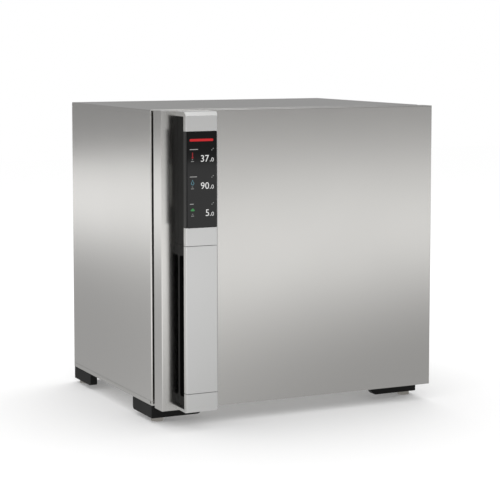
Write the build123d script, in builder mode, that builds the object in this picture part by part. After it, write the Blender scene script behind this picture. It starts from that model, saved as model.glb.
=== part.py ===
from build123d import *
import os
from math import cos, degrees, radians, sin

# A bench-top carbon dioxide incubator: an insulated cabinet with a heated steel chamber,
# an outer door with a full-height handle and touch display, and an inner glass door.
# Millimetres, +Z up, the outer door faces -Y, the origin is on the floor at the centre of the box.

# Overall sizes
width = 719.0
body_height = 691.0
body_depth = 527.0
door_thickness = 48.0
door_gap = 15.5
handle_proud = 57.0
rear_reach = 16.0
foot_clearance = 11.0
foot_block_height = 29.0

# Sheet metal and clearances
sheet = 1.5
seam = 0.6
fit = 0.3
fold = 11.0
edge_round = 3.0
bend = 2.0
panel_flange = 30.0

# Places that follow from the overall sizes
overall_depth = handle_proud + door_thickness + door_gap + body_depth + rear_reach
handle_face = -overall_depth / 2
door_front = handle_face + handle_proud
door_back = door_front + door_thickness
body_front = door_back + door_gap
body_back = body_front + body_depth
side = width / 2
base = foot_clearance + foot_block_height
top = base + body_height
middle_y = (body_front + body_back) / 2
middle_z = (base + top) / 2
skin_low = base + fold + seam
skin_high = top - fold - seam
panel_inner = side - sheet
lip_outer = panel_inner - fit
lip_inner = lip_outer - sheet

# Chamber
side_wall = 99.5
end_wall = 85.5
service_bay = 114.0
flange_recess = 8.0
chamber_width = width - 2 * side_wall
chamber_height = body_height - 2 * end_wall
chamber_depth = body_depth - flange_recess - service_bay
chamber_radius = 28.0
chamber_rear_radius = 14.0
chamber_sheet = 1.2
flange_width = 20.0
frame_depth = 20.0
foam_gap = 1.6
heater_thickness = 1.0
heater_inset = 50.0
rear_foam = 40.0
chamber_front = body_front + flange_recess
chamber_back = chamber_front + chamber_depth
chamber_half = chamber_width / 2
chamber_rise = chamber_height / 2
chamber_floor = middle_z - chamber_rise
chamber_ceiling = middle_z + chamber_rise
foam_back = chamber_back + chamber_sheet + foam_gap + rear_foam

# Inner glass door
glass_thickness = 5.0
glass_overlap = 15.0
glass_radius = 30.0
seal_thickness = 4.0
seal_width = 12.0
glass_back = chamber_front - seal_thickness - fit
glass_front = glass_back - glass_thickness
glass_half_width = chamber_half + glass_overlap
glass_half_height = chamber_rise + glass_overlap
glass_axis_reach = 30.0
glass_axis_lead = 5.0
glass_axis_x = chamber_half + glass_axis_reach
glass_axis_y = body_front - glass_axis_lead
glass_hinge_height = 44.0
glass_hinge_offset = 60.0
glass_knuckle_radius = 4.0
glass_pin_radius = 2.0
glass_leaf = 2.5
glass_leaf_length = 40.0
mount_leaf = 2.0
mount_leaf_length = 16.0
latch_inset = 32.0
latch_reach = 49.0
latch_hub_radius = 11.0
latch_shaft_radius = 5.0
latch_lever_width = 12.0
latch_lever_thickness = 3.4
latch_lever_lift = 2.0
latch_hub_height = 7.7
latch_edge_round = 1.5
latch_washer_rim = 3.0
latch_washer_thickness = 2.0
keeper_wall = 5.0
keeper_catch = 6.0
keeper_gap = 0.5
keeper_lip = 2.0

# Outer door
liner_thickness = 3.0
liner_recess = 4.0
liner_border = 70.0
gasket_inset = 32.0
gasket_width = 14.0
gasket_base = 3.0
gasket_bellows = 6.0
gasket_bellows_inset = 3.0
gasket_head_inset = 1.0
hinge_axis_inset = 6.0
hinge_axis_x = side - hinge_axis_inset
hinge_axis_y = body_front - door_gap / 2
hinge_height = 66.0
hinge_offset = 70.0
knuckle_radius = 5.5
hinge_pin_radius = 3.0
hinge_leaf = 3.0
pin_clearance = 0.05
knuckle_gap = 0.5
pin_head = 2.0
pin_head_inset = 0.5

# Handle and display bar on the outer door
bar_inset = 36.0
bar_width = 79.5
bar_lift = 3.0
bar_drop = 1.0
bar_low = base + bar_lift
bar_high = top - bar_drop
bar_plate = 13.7
bar_bevel = 9.0
bar_corner = 6.0
bar_edge = 1.5
bar_soft_edge = 4.0
bar_side_inset = 6.5
bar_seam = 1.2
cap_top = 10.6
cap_bottom = 7.3
display_glass_drop = 43.7
display_glass_height = 218.6
display_chin = 41.4
end_cap_height = 44.6
display_glass_high = bar_high - display_glass_drop
display_glass_low = display_glass_high - display_glass_height
display_seam = display_glass_low - display_chin
end_cap_seam = bar_low + end_cap_height
glass_margin = 3.0
display_glass_thickness = 2.0
display_glass_recess = 0.4
display_glass_radius = 2.0
window_border = 5.0
grip_wall = 4.5
grip_depth = 46.0
grip_end = 25.0
grip_round = 8.0
grip_overrun = 1.0
port_cover_lift = 41.3
port_cover_height = 98.0
port_cover_low = display_glass_low + port_cover_lift
port_cover_high = port_cover_low + port_cover_height
port_cover_width = 4.0
port_cover_thickness = 1.2
bar_left = -side + bar_inset
bar_right = bar_left + bar_width
plate_back = handle_face + bar_plate

# Fan at the top of the chamber's rear wall
fan_drop = 100.0
plenum_side_gap = 70.0
plenum_half_width = chamber_half - plenum_side_gap
plenum_height = 140.0
plenum_depth = 48.0
plenum_round = 10.0
outlet_inset = 20.0
outlet_front_gap = 11.0
outlet_rear_gap = 5.0
impeller_radius = 52.0
impeller_height = 22.0
impeller_back = 12.0
impeller_plate = 1.5
impeller_eye = 36.0
blade_count = 12
blade_thickness = 1.8
blade_root_radius = 24.0
blade_tip_radius = 50.5
blade_sweep = 34.0
hub_radius = 9.0
hub_length = 12.0
fan_shaft_radius = 4.0
fan_bore = 12.0
motor_radius = 30.0
motor_length = 45.0
motor_flange_radius = 38.0
motor_flange_thickness = 3.0
motor_end_round = 4.0
motor_shaft_depth = 22.5
grille_radii = (45.0, 34.0, 23.0, 12.0)
grille_bar = 4.0
grille_spokes = 6
fan_z = chamber_ceiling - fan_drop

# Sensors and services in the rear bay
sensor_inset = 65.0
sensor_x = plenum_half_width - sensor_inset
sensor_radius = 11.0
sensor_reach = 26.0
sensor_round = 3.0
sensor_head_rim = 8.0
sensor_head_length = 24.0
probe_x = -sensor_x
probe_radius = 3.0
probe_reach = 30.0
probe_round = 2.4
probe_head_rim = 5.0
probe_head_length = 14.0
gas_inset = 45.0
gas_x = gas_inset - chamber_half
gas_standoff = 15.0
tube_radius = 4.0
tube_bend = 12.0
tube_end = 8.0
gas_inlet_drop = 131.0
inlet_to_valve = 70.0
valve_height = 50.0
valve_half_width = 20.0
valve_depth = 30.0
valve_round = 3.0
valve_to_filter = 35.0
filter_height = 25.0
filter_to_entry = 50.0
gas_inlet_z = top - gas_inlet_drop
valve_high = gas_inlet_z - inlet_to_valve
valve_low = valve_high - valve_height
filter_high = valve_low - valve_to_filter
filter_low = filter_high - filter_height
gas_entry_z = filter_low - filter_to_entry
port_inset = 55.0
port_x = chamber_half - port_inset
port_z = gas_entry_z
port_radius = 20.0
port_bore = 17.0
port_flange = 27.0
port_flange_thickness = 3.0
port_lead = 2.0
plug_length = 30.0
plug_rim = 6.0
plug_head = 8.7
plug_round = 3.0
plug_chamfer = 2.0
power_inset = 109.5
network_spacing = 65.0
socket_rise = 70.0
power_x = side - power_inset
network_x = power_x - network_spacing
socket_z = base + socket_rise

# Shelves and tray
shelf_thickness = 1.2
shelf_lip = 10.0
shelf_front_gap = 16.0
shelf_rear_gap = 6.0
shelf_depth = chamber_depth - shelf_front_gap - plenum_depth - shelf_rear_gap
shelf_side_gap = 12.0
shelf_first = 150.0
shelf_headroom = 140.0
shelf_pitch = (chamber_height - shelf_first - shelf_headroom) / 2
shelf_heights = {
    "shelf_lower": shelf_first,
    "shelf_middle": shelf_first + shelf_pitch,
    "shelf_upper": shelf_first + 2 * shelf_pitch,
}
ledge = 14.0
rail_thickness = 2.0
rail_width = 22.0
rail_below = 60.0
rail_above = 40.0
rail_setback = 40.0
slot_columns = 7
slot_rows = 5
slot_share = 0.75
slot_height_share = 0.25
tray_side_gap = 40.0
tray_end_gap = 7.5
tray_width = chamber_width - 2 * tray_side_gap
tray_depth = shelf_depth - 2 * tray_end_gap
tray_height = 30.0
tray_radius = 22.0
tray_rim = 6.0

# Feet
block_leg_x = 130.0
block_leg_y = 119.0
block_thickness = 18.0
block_boss_radius = 22.0
block_end_round_x = 16.0
block_end_round_y = 7.0
foot_inset = 23.0
foot_width = 33.0
foot_flats = 6
foot_chamfer = 1.5
stud_radius = 6.0
stud_reach = 25.0
stud_top = foot_clearance + stud_reach


def front_plane(y):
    """Plane seen from the front at depth y: local X is X, local Y is Z, and it extrudes forward."""
    return Plane.XZ.offset(-y)


def slab(x_span, y_span, z_span, mode=Mode.ADD):
    """Rectangular extrusion between the given limits, in the piece that is being built."""
    with BuildSketch(Plane.XY.offset(z_span[0])) as outline:
        with Locations(((x_span[0] + x_span[1]) / 2, (y_span[0] + y_span[1]) / 2)):
            Rectangle(x_span[1] - x_span[0], y_span[1] - y_span[0])
    extrude(outline.sketch, amount=z_span[1] - z_span[0], mode=mode)


def round_bar(x, z, radius, y_span, mode=Mode.ADD):
    """Cylinder along Y, in the piece that is being built."""
    with BuildSketch(front_plane(y_span[1])) as outline:
        with Locations((x, z)):
            Circle(radius)
    extrude(outline.sketch, amount=y_span[1] - y_span[0], mode=mode)


def upright_bar(x, y, radius, z_span, mode=Mode.ADD):
    """Cylinder along Z, in the piece that is being built."""
    with BuildSketch(Plane.XY.offset(z_span[0])) as outline:
        with Locations((x, y)):
            Circle(radius)
    extrude(outline.sketch, amount=z_span[1] - z_span[0], mode=mode)


def front_block(half_width, half_height, radius, y_span, mode=Mode.ADD):
    """Block with rounded upright corners about the chamber's axis, in the piece being built."""
    with BuildSketch(front_plane(y_span[1])) as outline:
        with Locations((0, middle_z)):
            RectangleRounded(2 * half_width, 2 * half_height, radius)
    extrude(outline.sketch, amount=y_span[1] - y_span[0], mode=mode)


def chamber_volume(growth):
    """The chamber's inner space, grown evenly by a wall or a clearance."""
    with BuildPart() as volume:
        front_block(
            chamber_half + growth, chamber_rise + growth, chamber_radius + growth,
            (chamber_front, chamber_back + growth),
        )
        fillet(volume.faces().sort_by(Axis.Y)[-1].edges(), chamber_rear_radius + growth)
    return volume.part


def hinge_half(axis_x, axis_y, leaf_x, leaf_y, z_span, bands, knuckle, pin):
    """Leaf with its knuckles at the given heights, in the piece that is being built."""
    slab(leaf_x, leaf_y, z_span)
    near_x = min(leaf_x, key=lambda x: abs(x - axis_x))
    for band in bands:
        slab((min(near_x, axis_x), max(near_x, axis_x)), leaf_y, band)
        upright_bar(axis_x, axis_y, knuckle, band)
        upright_bar(axis_x, axis_y, pin + pin_clearance, band, Mode.SUBTRACT)


def hinge_bands(z_span):
    """Heights of the two outer knuckles and of the middle one."""
    third = (z_span[1] - z_span[0]) / 3
    outer = [(z_span[0], z_span[0] + third), (z_span[1] - third, z_span[1])]
    inner = [(z_span[0] + third + knuckle_gap, z_span[1] - third - knuckle_gap)]
    return outer, inner


def save(piece, name):
    """Label a finished piece and write it as a file of its own."""
    piece.part.label = name
    export_step(piece.part, f"parts/{name}.step")


os.makedirs("parts", exist_ok=True)

# Cabinet shell: top cover with its edges folded down over the side panels
with BuildPart() as top_cover:
    slab((-side, side), (body_front, body_back), (top - fold, top))
    fillet(top_cover.edges().filter_by(Axis.Z).group_by(Axis.Y)[0], edge_round)
    fillet(top_cover.faces().sort_by(Axis.Z)[-1].edges(), bend)
    slab(
        (-panel_inner, panel_inner), (body_front + sheet, body_back - sheet),
        (top - fold, top - sheet), Mode.SUBTRACT,
    )
    for x_span in ((-side, -panel_inner), (panel_inner, side)):
        slab(x_span, (body_back - fold, body_back - sheet), (top - fold, top - fold / 2), Mode.SUBTRACT)
save(top_cover, "top_cover")

# Base pan with its edges folded up over the side panels
foot_centres = [
    (x, y)
    for x in (-side + foot_inset, side - foot_inset)
    for y in (body_front + foot_inset, body_back - foot_inset)
]
with BuildPart() as base_pan:
    slab((-side, side), (body_front, body_back), (base, base + fold))
    fillet(base_pan.edges().filter_by(Axis.Z).group_by(Axis.Y)[0], edge_round)
    fillet(base_pan.faces().sort_by(Axis.Z)[0].edges(), bend)
    slab(
        (-panel_inner, panel_inner), (body_front + sheet, body_back - sheet),
        (base + sheet, base + fold), Mode.SUBTRACT,
    )
    for x_span in ((-side, -panel_inner), (panel_inner, side)):
        slab(
            x_span, (body_front + edge_round, body_front + fold),
            (base + fold / 2, base + fold), Mode.SUBTRACT,
        )
save(base_pan, "base_pan")

# Side panels, joggled inwards where the cover and the pan fold over them
with BuildPart() as side_panel_right:
    with BuildSketch(front_plane(body_back)):
        with BuildLine():
            Polyline(
                (side, skin_low), (side, skin_high),
                (lip_outer, skin_high), (lip_outer, top - sheet - fit),
                (lip_inner, top - sheet - fit), (lip_inner, skin_high - sheet),
                (panel_inner, skin_high - sheet), (panel_inner, skin_low + sheet),
                (lip_inner, skin_low + sheet), (lip_inner, base + sheet + fit),
                (lip_outer, base + sheet + fit), (lip_outer, skin_low), close=True,
            )
        make_face()
    extrude(amount=body_depth)
    flange_x = (side - panel_flange, panel_inner)
    slab(flange_x, (body_front, body_front + sheet), (skin_low, skin_high))
    slab(flange_x, (body_back - 2 * sheet - fit, body_back - sheet - fit), (skin_low, skin_high))
    fillet(
        side_panel_right.edges().filter_by(Axis.Z).group_by(Axis.Y)[0].sort_by(Axis.X)[-1], edge_round
    )
    for z_span in ((skin_high, top), (base, skin_low)):
        slab((lip_inner, side), (body_front, body_front + sheet + fit), z_span, Mode.SUBTRACT)
        slab((lip_inner, side), (body_back - sheet - fit, body_back), z_span, Mode.SUBTRACT)
    slab((lip_inner, panel_inner), (body_back - sheet - fit, body_back), (base, top), Mode.SUBTRACT)
save(side_panel_right, "side_panel_right")

with BuildPart() as side_panel_left:
    mirror(side_panel_right.part, about=Plane.YZ)
save(side_panel_left, "side_panel_left")

# Rear panel with ventilation slots and the cut-outs for the services
vent_slot = (70.0, 5.0)
vent_pitch = (95.0, 16.0)
vent_rows = 7
vent_columns = 3
vent_drop = 91.0
vent_z = top - vent_drop
power_cutout = (50.0, 30.0)
network_cutout = (18.0, 15.0)
gas_fitting_radius = 8.0
with BuildPart() as rear_panel:
    with BuildSketch(front_plane(body_back)):
        with Locations((0, middle_z)):
            Rectangle(2 * (panel_inner - fit), skin_high - skin_low)
        with Locations((0, vent_z)):
            with GridLocations(vent_pitch[0], vent_pitch[1], vent_columns, vent_rows):
                SlotOverall(vent_slot[0], vent_slot[1], mode=Mode.SUBTRACT)
        with Locations((power_x, socket_z)):
            Rectangle(power_cutout[0] + 2 * fit, power_cutout[1] + 2 * fit, mode=Mode.SUBTRACT)
        with Locations((network_x, socket_z)):
            Rectangle(network_cutout[0] + 2 * fit, network_cutout[1] + 2 * fit, mode=Mode.SUBTRACT)
        with Locations((gas_x, gas_inlet_z)):
            Circle(gas_fitting_radius + fit, mode=Mode.SUBTRACT)
        with Locations((port_x, port_z)):
            Circle(port_radius + fit, mode=Mode.SUBTRACT)
    extrude(amount=sheet)
save(rear_panel, "rear_panel")

# Front collar round the chamber mouth, stepped to take the chamber's flange
flange_half = chamber_half + flange_width
flange_rise = chamber_rise + flange_width
recess_back = chamber_front + chamber_sheet
with BuildPart() as front_frame:
    with BuildSketch(front_plane(body_front + frame_depth)):
        with Locations((0, middle_z)):
            Rectangle(2 * (side - panel_flange - fit), skin_high - skin_low)
    extrude(amount=frame_depth)
    front_block(
        flange_half + fit, flange_rise + fit, chamber_radius + flange_width / 2 + fit,
        (body_front, recess_back), Mode.SUBTRACT,
    )
    front_block(
        chamber_half + chamber_sheet + fit, chamber_rise + chamber_sheet + fit,
        chamber_radius + chamber_sheet + fit, (recess_back, body_front + frame_depth), Mode.SUBTRACT,
    )
save(front_frame, "front_frame")

# Chamber: deep-drawn steel box with rounded corners, a front flange and bores in its rear wall
chamber_space = chamber_volume(0)
chamber_body = chamber_volume(chamber_sheet)
rear_bores = [
    (0.0, fan_z, fan_bore),
    (sensor_x, fan_z, sensor_radius + fit),
    (probe_x, fan_z, probe_radius + fit),
    (gas_x, gas_entry_z, tube_radius + fit),
    (port_x, port_z, port_radius + fit),
]
with BuildPart() as inner_chamber:
    add(chamber_body)
    front_block(
        flange_half, flange_rise, chamber_radius + flange_width / 2, (chamber_front, recess_back)
    )
    add(chamber_space, mode=Mode.SUBTRACT)
    for x, z, radius in rear_bores:
        round_bar(
            x, z, radius,
            (chamber_back - chamber_sheet, chamber_back + 2 * chamber_sheet), Mode.SUBTRACT,
        )
save(inner_chamber, "inner_chamber")

# Heating jacket: a thin band round the chamber's four walls
with BuildPart() as chamber_heater:
    band_y = (chamber_front + heater_inset, chamber_back - heater_inset)
    heater_inner = chamber_sheet + fit
    heater_outer = heater_inner + heater_thickness
    front_block(
        chamber_half + heater_outer, chamber_rise + heater_outer, chamber_radius + heater_outer, band_y
    )
    front_block(
        chamber_half + heater_inner, chamber_rise + heater_inner, chamber_radius + heater_inner, band_y,
        Mode.SUBTRACT,
    )
save(chamber_heater, "chamber_heater")

# Insulation boards: one under, one over, one at each side and one behind the chamber
foam_half = lip_inner - fit
cavity_half = chamber_half + chamber_sheet + foam_gap
cavity_rise = chamber_rise + chamber_sheet + foam_gap
cavity_back = chamber_back + chamber_sheet + foam_gap
foam_front = body_front + frame_depth
wall_z = (middle_z - cavity_rise + fit, middle_z + cavity_rise - fit)
with BuildPart() as cabinet_insulation:
    slab((-foam_half, foam_half), (foam_front, foam_back), (base + sheet, middle_z - cavity_rise))
    slab((-foam_half, foam_half), (foam_front, foam_back), (middle_z + cavity_rise, top - sheet))
    slab((-foam_half, -cavity_half), (foam_front, cavity_back - fit), wall_z)
    slab((cavity_half, foam_half), (foam_front, cavity_back - fit), wall_z)
    slab((-foam_half, foam_half), (cavity_back, foam_back), wall_z)
    for x, z, radius in rear_bores:
        round_bar(x, z, radius, (chamber_back, foam_back), Mode.SUBTRACT)
save(cabinet_insulation, "cabinet_insulation")

# Seal on the chamber flange that the glass door closes on
with BuildPart() as chamber_gasket:
    seal_y = (chamber_front - seal_thickness, chamber_front)
    seal_outer = fit + seal_width
    front_block(
        chamber_half + seal_outer, chamber_rise + seal_outer, chamber_radius + seal_width / 2, seal_y
    )
    front_block(chamber_half + fit, chamber_rise + fit, chamber_radius + fit, seal_y, Mode.SUBTRACT)
save(chamber_gasket, "chamber_gasket")

# Shelf rails: two uprights and three ledges on each side wall
shelf_front = chamber_front + shelf_front_gap
shelf_back = shelf_front + shelf_depth
rail_low = chamber_floor + shelf_first - rail_below
rail_high = chamber_ceiling - shelf_headroom + rail_above
with BuildPart() as shelf_rails:
    for upright_y in (shelf_front + rail_setback, shelf_back - rail_setback - rail_width):
        slab(
            (chamber_half - fit - rail_thickness, chamber_half - fit),
            (upright_y, upright_y + rail_width), (rail_low, rail_high),
        )
    for height in shelf_heights.values():
        ledge_z = chamber_floor + height
        with BuildSketch(front_plane(shelf_back)):
            with BuildLine():
                Polyline(
                    (chamber_half - fit, ledge_z), (chamber_half - fit, ledge_z - ledge),
                    (chamber_half - fit - rail_thickness, ledge_z - ledge),
                    (chamber_half - fit - rail_thickness, ledge_z - rail_thickness),
                    (chamber_half - fit - ledge, ledge_z - rail_thickness),
                    (chamber_half - fit - ledge, ledge_z), close=True,
                )
            make_face()
        extrude(amount=shelf_depth)
    mirror(about=Plane.YZ)
save(shelf_rails, "shelf_rails")

# Perforated shelves with turned-down front and rear edges
shelf_half = chamber_half - fit - rail_thickness - fit
for shelf_name, height in shelf_heights.items():
    shelf_z = chamber_floor + height
    slot_pitch = (
        2 * (chamber_half - ledge - shelf_side_gap) / slot_columns, shelf_depth / (slot_rows + 1)
    )
    with BuildPart() as shelf:
        slab((-shelf_half, shelf_half), (shelf_front, shelf_back), (shelf_z, shelf_z + shelf_thickness))
        lip_half = chamber_half - ledge - shelf_side_gap
        for lip_y in (shelf_front, shelf_back - shelf_thickness):
            slab((-lip_half, lip_half), (lip_y, lip_y + shelf_thickness), (shelf_z - shelf_lip, shelf_z))
        with BuildSketch(Plane.XY.offset(shelf_z)):
            with Locations((0, (shelf_front + shelf_back) / 2)):
                with GridLocations(slot_pitch[0], slot_pitch[1], slot_columns, slot_rows):
                    SlotOverall(slot_share * slot_pitch[0], slot_height_share * slot_pitch[1])
        extrude(amount=shelf_thickness, mode=Mode.SUBTRACT)
    save(shelf, shelf_name)

# Water tray on the chamber floor, a drawn pan with a turned-out rim
with BuildPart() as water_tray:
    tray_y = (shelf_front + shelf_back) / 2
    with BuildSketch(Plane.XY.offset(chamber_floor)):
        with Locations((0, tray_y)):
            RectangleRounded(tray_width, tray_depth, tray_radius)
    extrude(amount=tray_height)
    with BuildSketch(Plane.XY.offset(chamber_floor + tray_height - shelf_thickness)):
        with Locations((0, tray_y)):
            RectangleRounded(
                tray_width + 2 * tray_rim, tray_depth + 2 * tray_rim, tray_radius + tray_rim
            )
    extrude(amount=shelf_thickness)
    with BuildSketch(Plane.XY.offset(chamber_floor + shelf_thickness)):
        with Locations((0, tray_y)):
            RectangleRounded(
                tray_width - 2 * shelf_thickness,
                tray_depth - 2 * shelf_thickness,
                tray_radius - shelf_thickness,
            )
    extrude(amount=tray_height, mode=Mode.SUBTRACT)
save(water_tray, "water_tray")

# Fan cover: a pressed plenum with a round inlet grille and side outlets
plenum_front = chamber_back - plenum_depth
with BuildPart() as fan_cover:
    plenum_z = (fan_z - plenum_height / 2, fan_z + plenum_height / 2)
    slab((-plenum_half_width, plenum_half_width), (plenum_front, chamber_back), plenum_z)
    fillet(fan_cover.faces().sort_by(Axis.Y)[0].edges(), plenum_round)
    offset(amount=-chamber_sheet, openings=fan_cover.faces().sort_by(Axis.Y)[-1])
    with BuildSketch(front_plane(plenum_front + 2 * chamber_sheet)):
        with Locations((0, fan_z)):
            for ring_outer, ring_inner in zip(grille_radii, grille_radii[1:]):
                Circle(ring_outer)
                Circle(ring_inner + grille_bar, mode=Mode.SUBTRACT)
            with PolarLocations(0, grille_spokes // 2, angular_range=180):
                Rectangle(2 * grille_radii[0], grille_bar, mode=Mode.SUBTRACT)
    extrude(amount=4 * chamber_sheet, mode=Mode.SUBTRACT)
    for side_x in (-plenum_half_width, plenum_half_width - 2 * chamber_sheet):
        slab(
            (side_x, side_x + 2 * chamber_sheet),
            (plenum_front + outlet_front_gap, chamber_back - outlet_rear_gap),
            (plenum_z[0] + outlet_inset, plenum_z[1] - outlet_inset), Mode.SUBTRACT,
        )
save(fan_cover, "fan_cover")

# Fan motor on the rear of the foam, its shaft, and the impeller inside the plenum
shaft_end = foam_back + motor_shaft_depth
with BuildPart() as fan_motor:
    round_bar(0, fan_z, motor_flange_radius, (foam_back, foam_back + motor_flange_thickness))
    round_bar(0, fan_z, motor_radius, (foam_back, foam_back + motor_length))
    fillet(fan_motor.faces().sort_by(Axis.Y)[-1].edges(), motor_end_round)
    round_bar(0, fan_z, fan_shaft_radius + pin_clearance, (foam_back, shaft_end + fit), Mode.SUBTRACT)
save(fan_motor, "fan_motor")

impeller_rear = chamber_back - impeller_back
impeller_front = impeller_rear - impeller_height
with BuildPart() as fan_shaft:
    round_bar(0, fan_z, fan_shaft_radius, (impeller_front, shaft_end))
save(fan_shaft, "fan_shaft")



def vane_point(radius, angle):
    """Point of the impeller's drawing, from its radius and its angle in degrees."""
    return (radius * cos(radians(angle)), radius * sin(radians(angle)))


# Impeller: swept vanes between a rear plate with its hub and a front ring round the eye
vane_middle = (blade_root_radius + blade_tip_radius) / 2
root_angle = degrees(blade_thickness / blade_root_radius)
middle_angle = blade_sweep / 3 + degrees(blade_thickness / vane_middle)
tip_angle = blade_sweep + degrees(blade_thickness / blade_tip_radius)
with BuildSketch() as vane:
    with BuildLine():
        ThreePointArc(
            vane_point(blade_root_radius, 0), vane_point(vane_middle, blade_sweep / 3),
            vane_point(blade_tip_radius, blade_sweep),
        )
        Line(vane_point(blade_tip_radius, blade_sweep), vane_point(blade_tip_radius, tip_angle))
        ThreePointArc(
            vane_point(blade_tip_radius, tip_angle), vane_point(vane_middle, middle_angle),
            vane_point(blade_root_radius, root_angle),
        )
        Line(vane_point(blade_root_radius, root_angle), vane_point(blade_root_radius, 0))
    make_face()

with BuildPart() as fan_impeller:
    round_bar(0, fan_z, impeller_radius, (impeller_rear - impeller_plate, impeller_rear))
    with BuildSketch(front_plane(impeller_rear)):
        with Locations((0, fan_z)):
            with PolarLocations(0, blade_count):
                add(vane.sketch)
    extrude(amount=impeller_height)
    with BuildSketch(front_plane(impeller_front + impeller_plate)):
        with Locations((0, fan_z)):
            Circle(impeller_radius)
            Circle(impeller_eye, mode=Mode.SUBTRACT)
    extrude(amount=impeller_plate)
    round_bar(0, fan_z, hub_radius, (impeller_rear - hub_length, impeller_rear))
    round_bar(0, fan_z, fan_shaft_radius + pin_clearance, (impeller_front, impeller_rear), Mode.SUBTRACT)
save(fan_impeller, "fan_impeller")

# Sensors that pass through the rear wall into the plenum
with BuildPart() as co2_sensor:
    round_bar(sensor_x, fan_z, sensor_radius, (chamber_back - sensor_reach, foam_back))
    fillet(co2_sensor.faces().sort_by(Axis.Y)[0].edges(), sensor_round)
    round_bar(
        sensor_x, fan_z, sensor_radius + sensor_head_rim,
        (foam_back, foam_back + sensor_head_length),
    )
save(co2_sensor, "co2_sensor")

with BuildPart() as temperature_probe:
    round_bar(probe_x, fan_z, probe_radius, (chamber_back - probe_reach, foam_back))
    fillet(temperature_probe.faces().sort_by(Axis.Y)[0].edges(), probe_round)
    round_bar(probe_x, fan_z, probe_radius + probe_head_rim, (foam_back, foam_back + probe_head_length))
save(temperature_probe, "temperature_probe")

# Gas train in the rear bay: inlet with hose barb, valve, filter and the tubes between them
gas_y = foam_back + gas_standoff
gas_bore = 1.8
barb_root = 3.4
barb_crest = 4.6
barb_tip = 3.0
barb_pitch = 3.0
barb_rows = 3
fitting_collar = 3.0
fitting_nut_rim = 4.0
fitting_nut_length = 10.0
fitting_tail = 8.0
fitting_nut = body_back - sheet - fitting_nut_length
fitting_inner = fitting_nut - fitting_tail
barb_start = body_back + fitting_collar
barb_points = [
    point
    for row in range(barb_rows)
    for point in (
        (barb_start + row * barb_pitch, gas_inlet_z + barb_root),
        (barb_start + (row + 1) * barb_pitch, gas_inlet_z + barb_root),
        (barb_start + (row + 1) * barb_pitch, gas_inlet_z + barb_crest),
    )
]
with BuildPart() as co2_inlet_fitting:
    with BuildSketch(Plane.YZ.offset(gas_x)):
        with BuildLine():
            Polyline(
                (fitting_inner, gas_inlet_z), (fitting_inner, gas_inlet_z + tube_radius),
                (fitting_nut, gas_inlet_z + tube_radius),
                (fitting_nut, gas_inlet_z + gas_fitting_radius + fitting_nut_rim),
                (body_back - sheet, gas_inlet_z + gas_fitting_radius + fitting_nut_rim),
                (body_back - sheet, gas_inlet_z + gas_fitting_radius),
                (barb_start, gas_inlet_z + gas_fitting_radius), *barb_points,
                (body_back + rear_reach, gas_inlet_z + barb_tip),
                (body_back + rear_reach, gas_inlet_z), close=True,
            )
        make_face()
    revolve(axis=Axis((gas_x, 0, gas_inlet_z), (0, 1, 0)))
    round_bar(gas_x, gas_inlet_z, gas_bore, (body_back, body_back + rear_reach), Mode.SUBTRACT)
save(co2_inlet_fitting, "co2_inlet_fitting")

with BuildPart() as gas_valve:
    slab(
        (gas_x - valve_half_width, gas_x + valve_half_width), (foam_back, foam_back + valve_depth),
        (valve_low, valve_high),
    )
    fillet(gas_valve.edges().filter_by(Axis.Z), valve_round)
    upright_bar(gas_x, gas_y, tube_radius, (valve_low - tube_end, valve_high + tube_end))
save(gas_valve, "gas_valve")

filter_shoulder = 4.0
filter_taper = 3.0
with BuildPart() as gas_filter:
    filter_mid = (filter_low + filter_high) / 2
    filter_edge = gas_x + gas_standoff - filter_taper
    with BuildSketch(Plane.XZ.offset(-gas_y)):
        with BuildLine():
            Polyline(
                (gas_x, filter_low - tube_end), (gas_x + tube_radius, filter_low - tube_end),
                (gas_x + tube_radius, filter_low), (filter_edge, filter_low + filter_shoulder),
                (gas_x + gas_standoff, filter_mid), (filter_edge, filter_high - filter_shoulder),
                (gas_x + tube_radius, filter_high), (gas_x + tube_radius, filter_high + tube_end),
                (gas_x, filter_high + tube_end), close=True,
            )
        make_face()
    revolve(axis=Axis((gas_x, gas_y, 0), (0, 0, 1)))
save(gas_filter, "gas_filter")

with BuildPart() as gas_tubes:
    with BuildLine() as inlet_route:
        FilletPolyline(
            (gas_x, fitting_inner, gas_inlet_z), (gas_x, gas_y, gas_inlet_z),
            (gas_x, gas_y, valve_high + tube_end), radius=tube_bend,
        )
    with BuildSketch(Plane(origin=(gas_x, fitting_inner, gas_inlet_z), z_dir=(0, -1, 0))):
        Circle(tube_radius)
    sweep(path=inlet_route.line)
    upright_bar(gas_x, gas_y, tube_radius, (filter_high + tube_end, valve_low - tube_end))
    with BuildLine() as chamber_route:
        FilletPolyline(
            (gas_x, gas_y, filter_low - tube_end), (gas_x, gas_y, gas_entry_z),
            (gas_x, chamber_back, gas_entry_z), radius=tube_bend,
        )
    with BuildSketch(Plane(origin=(gas_x, gas_y, filter_low - tube_end), z_dir=(0, 0, -1))):
        Circle(tube_radius)
    sweep(path=chamber_route.line)
save(gas_tubes, "gas_tubes")

# Access port through the rear wall and its soft stopper
port_face = body_back + port_flange_thickness
port_start = chamber_back - port_lead
plug_seat = port_face + fit
with BuildPart() as access_port_sleeve:
    round_bar(port_x, port_z, port_radius, (port_start, body_back))
    round_bar(port_x, port_z, port_flange, (body_back, port_face))
    round_bar(port_x, port_z, port_bore, (port_start, port_face), Mode.SUBTRACT)
save(access_port_sleeve, "access_port_sleeve")

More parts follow.
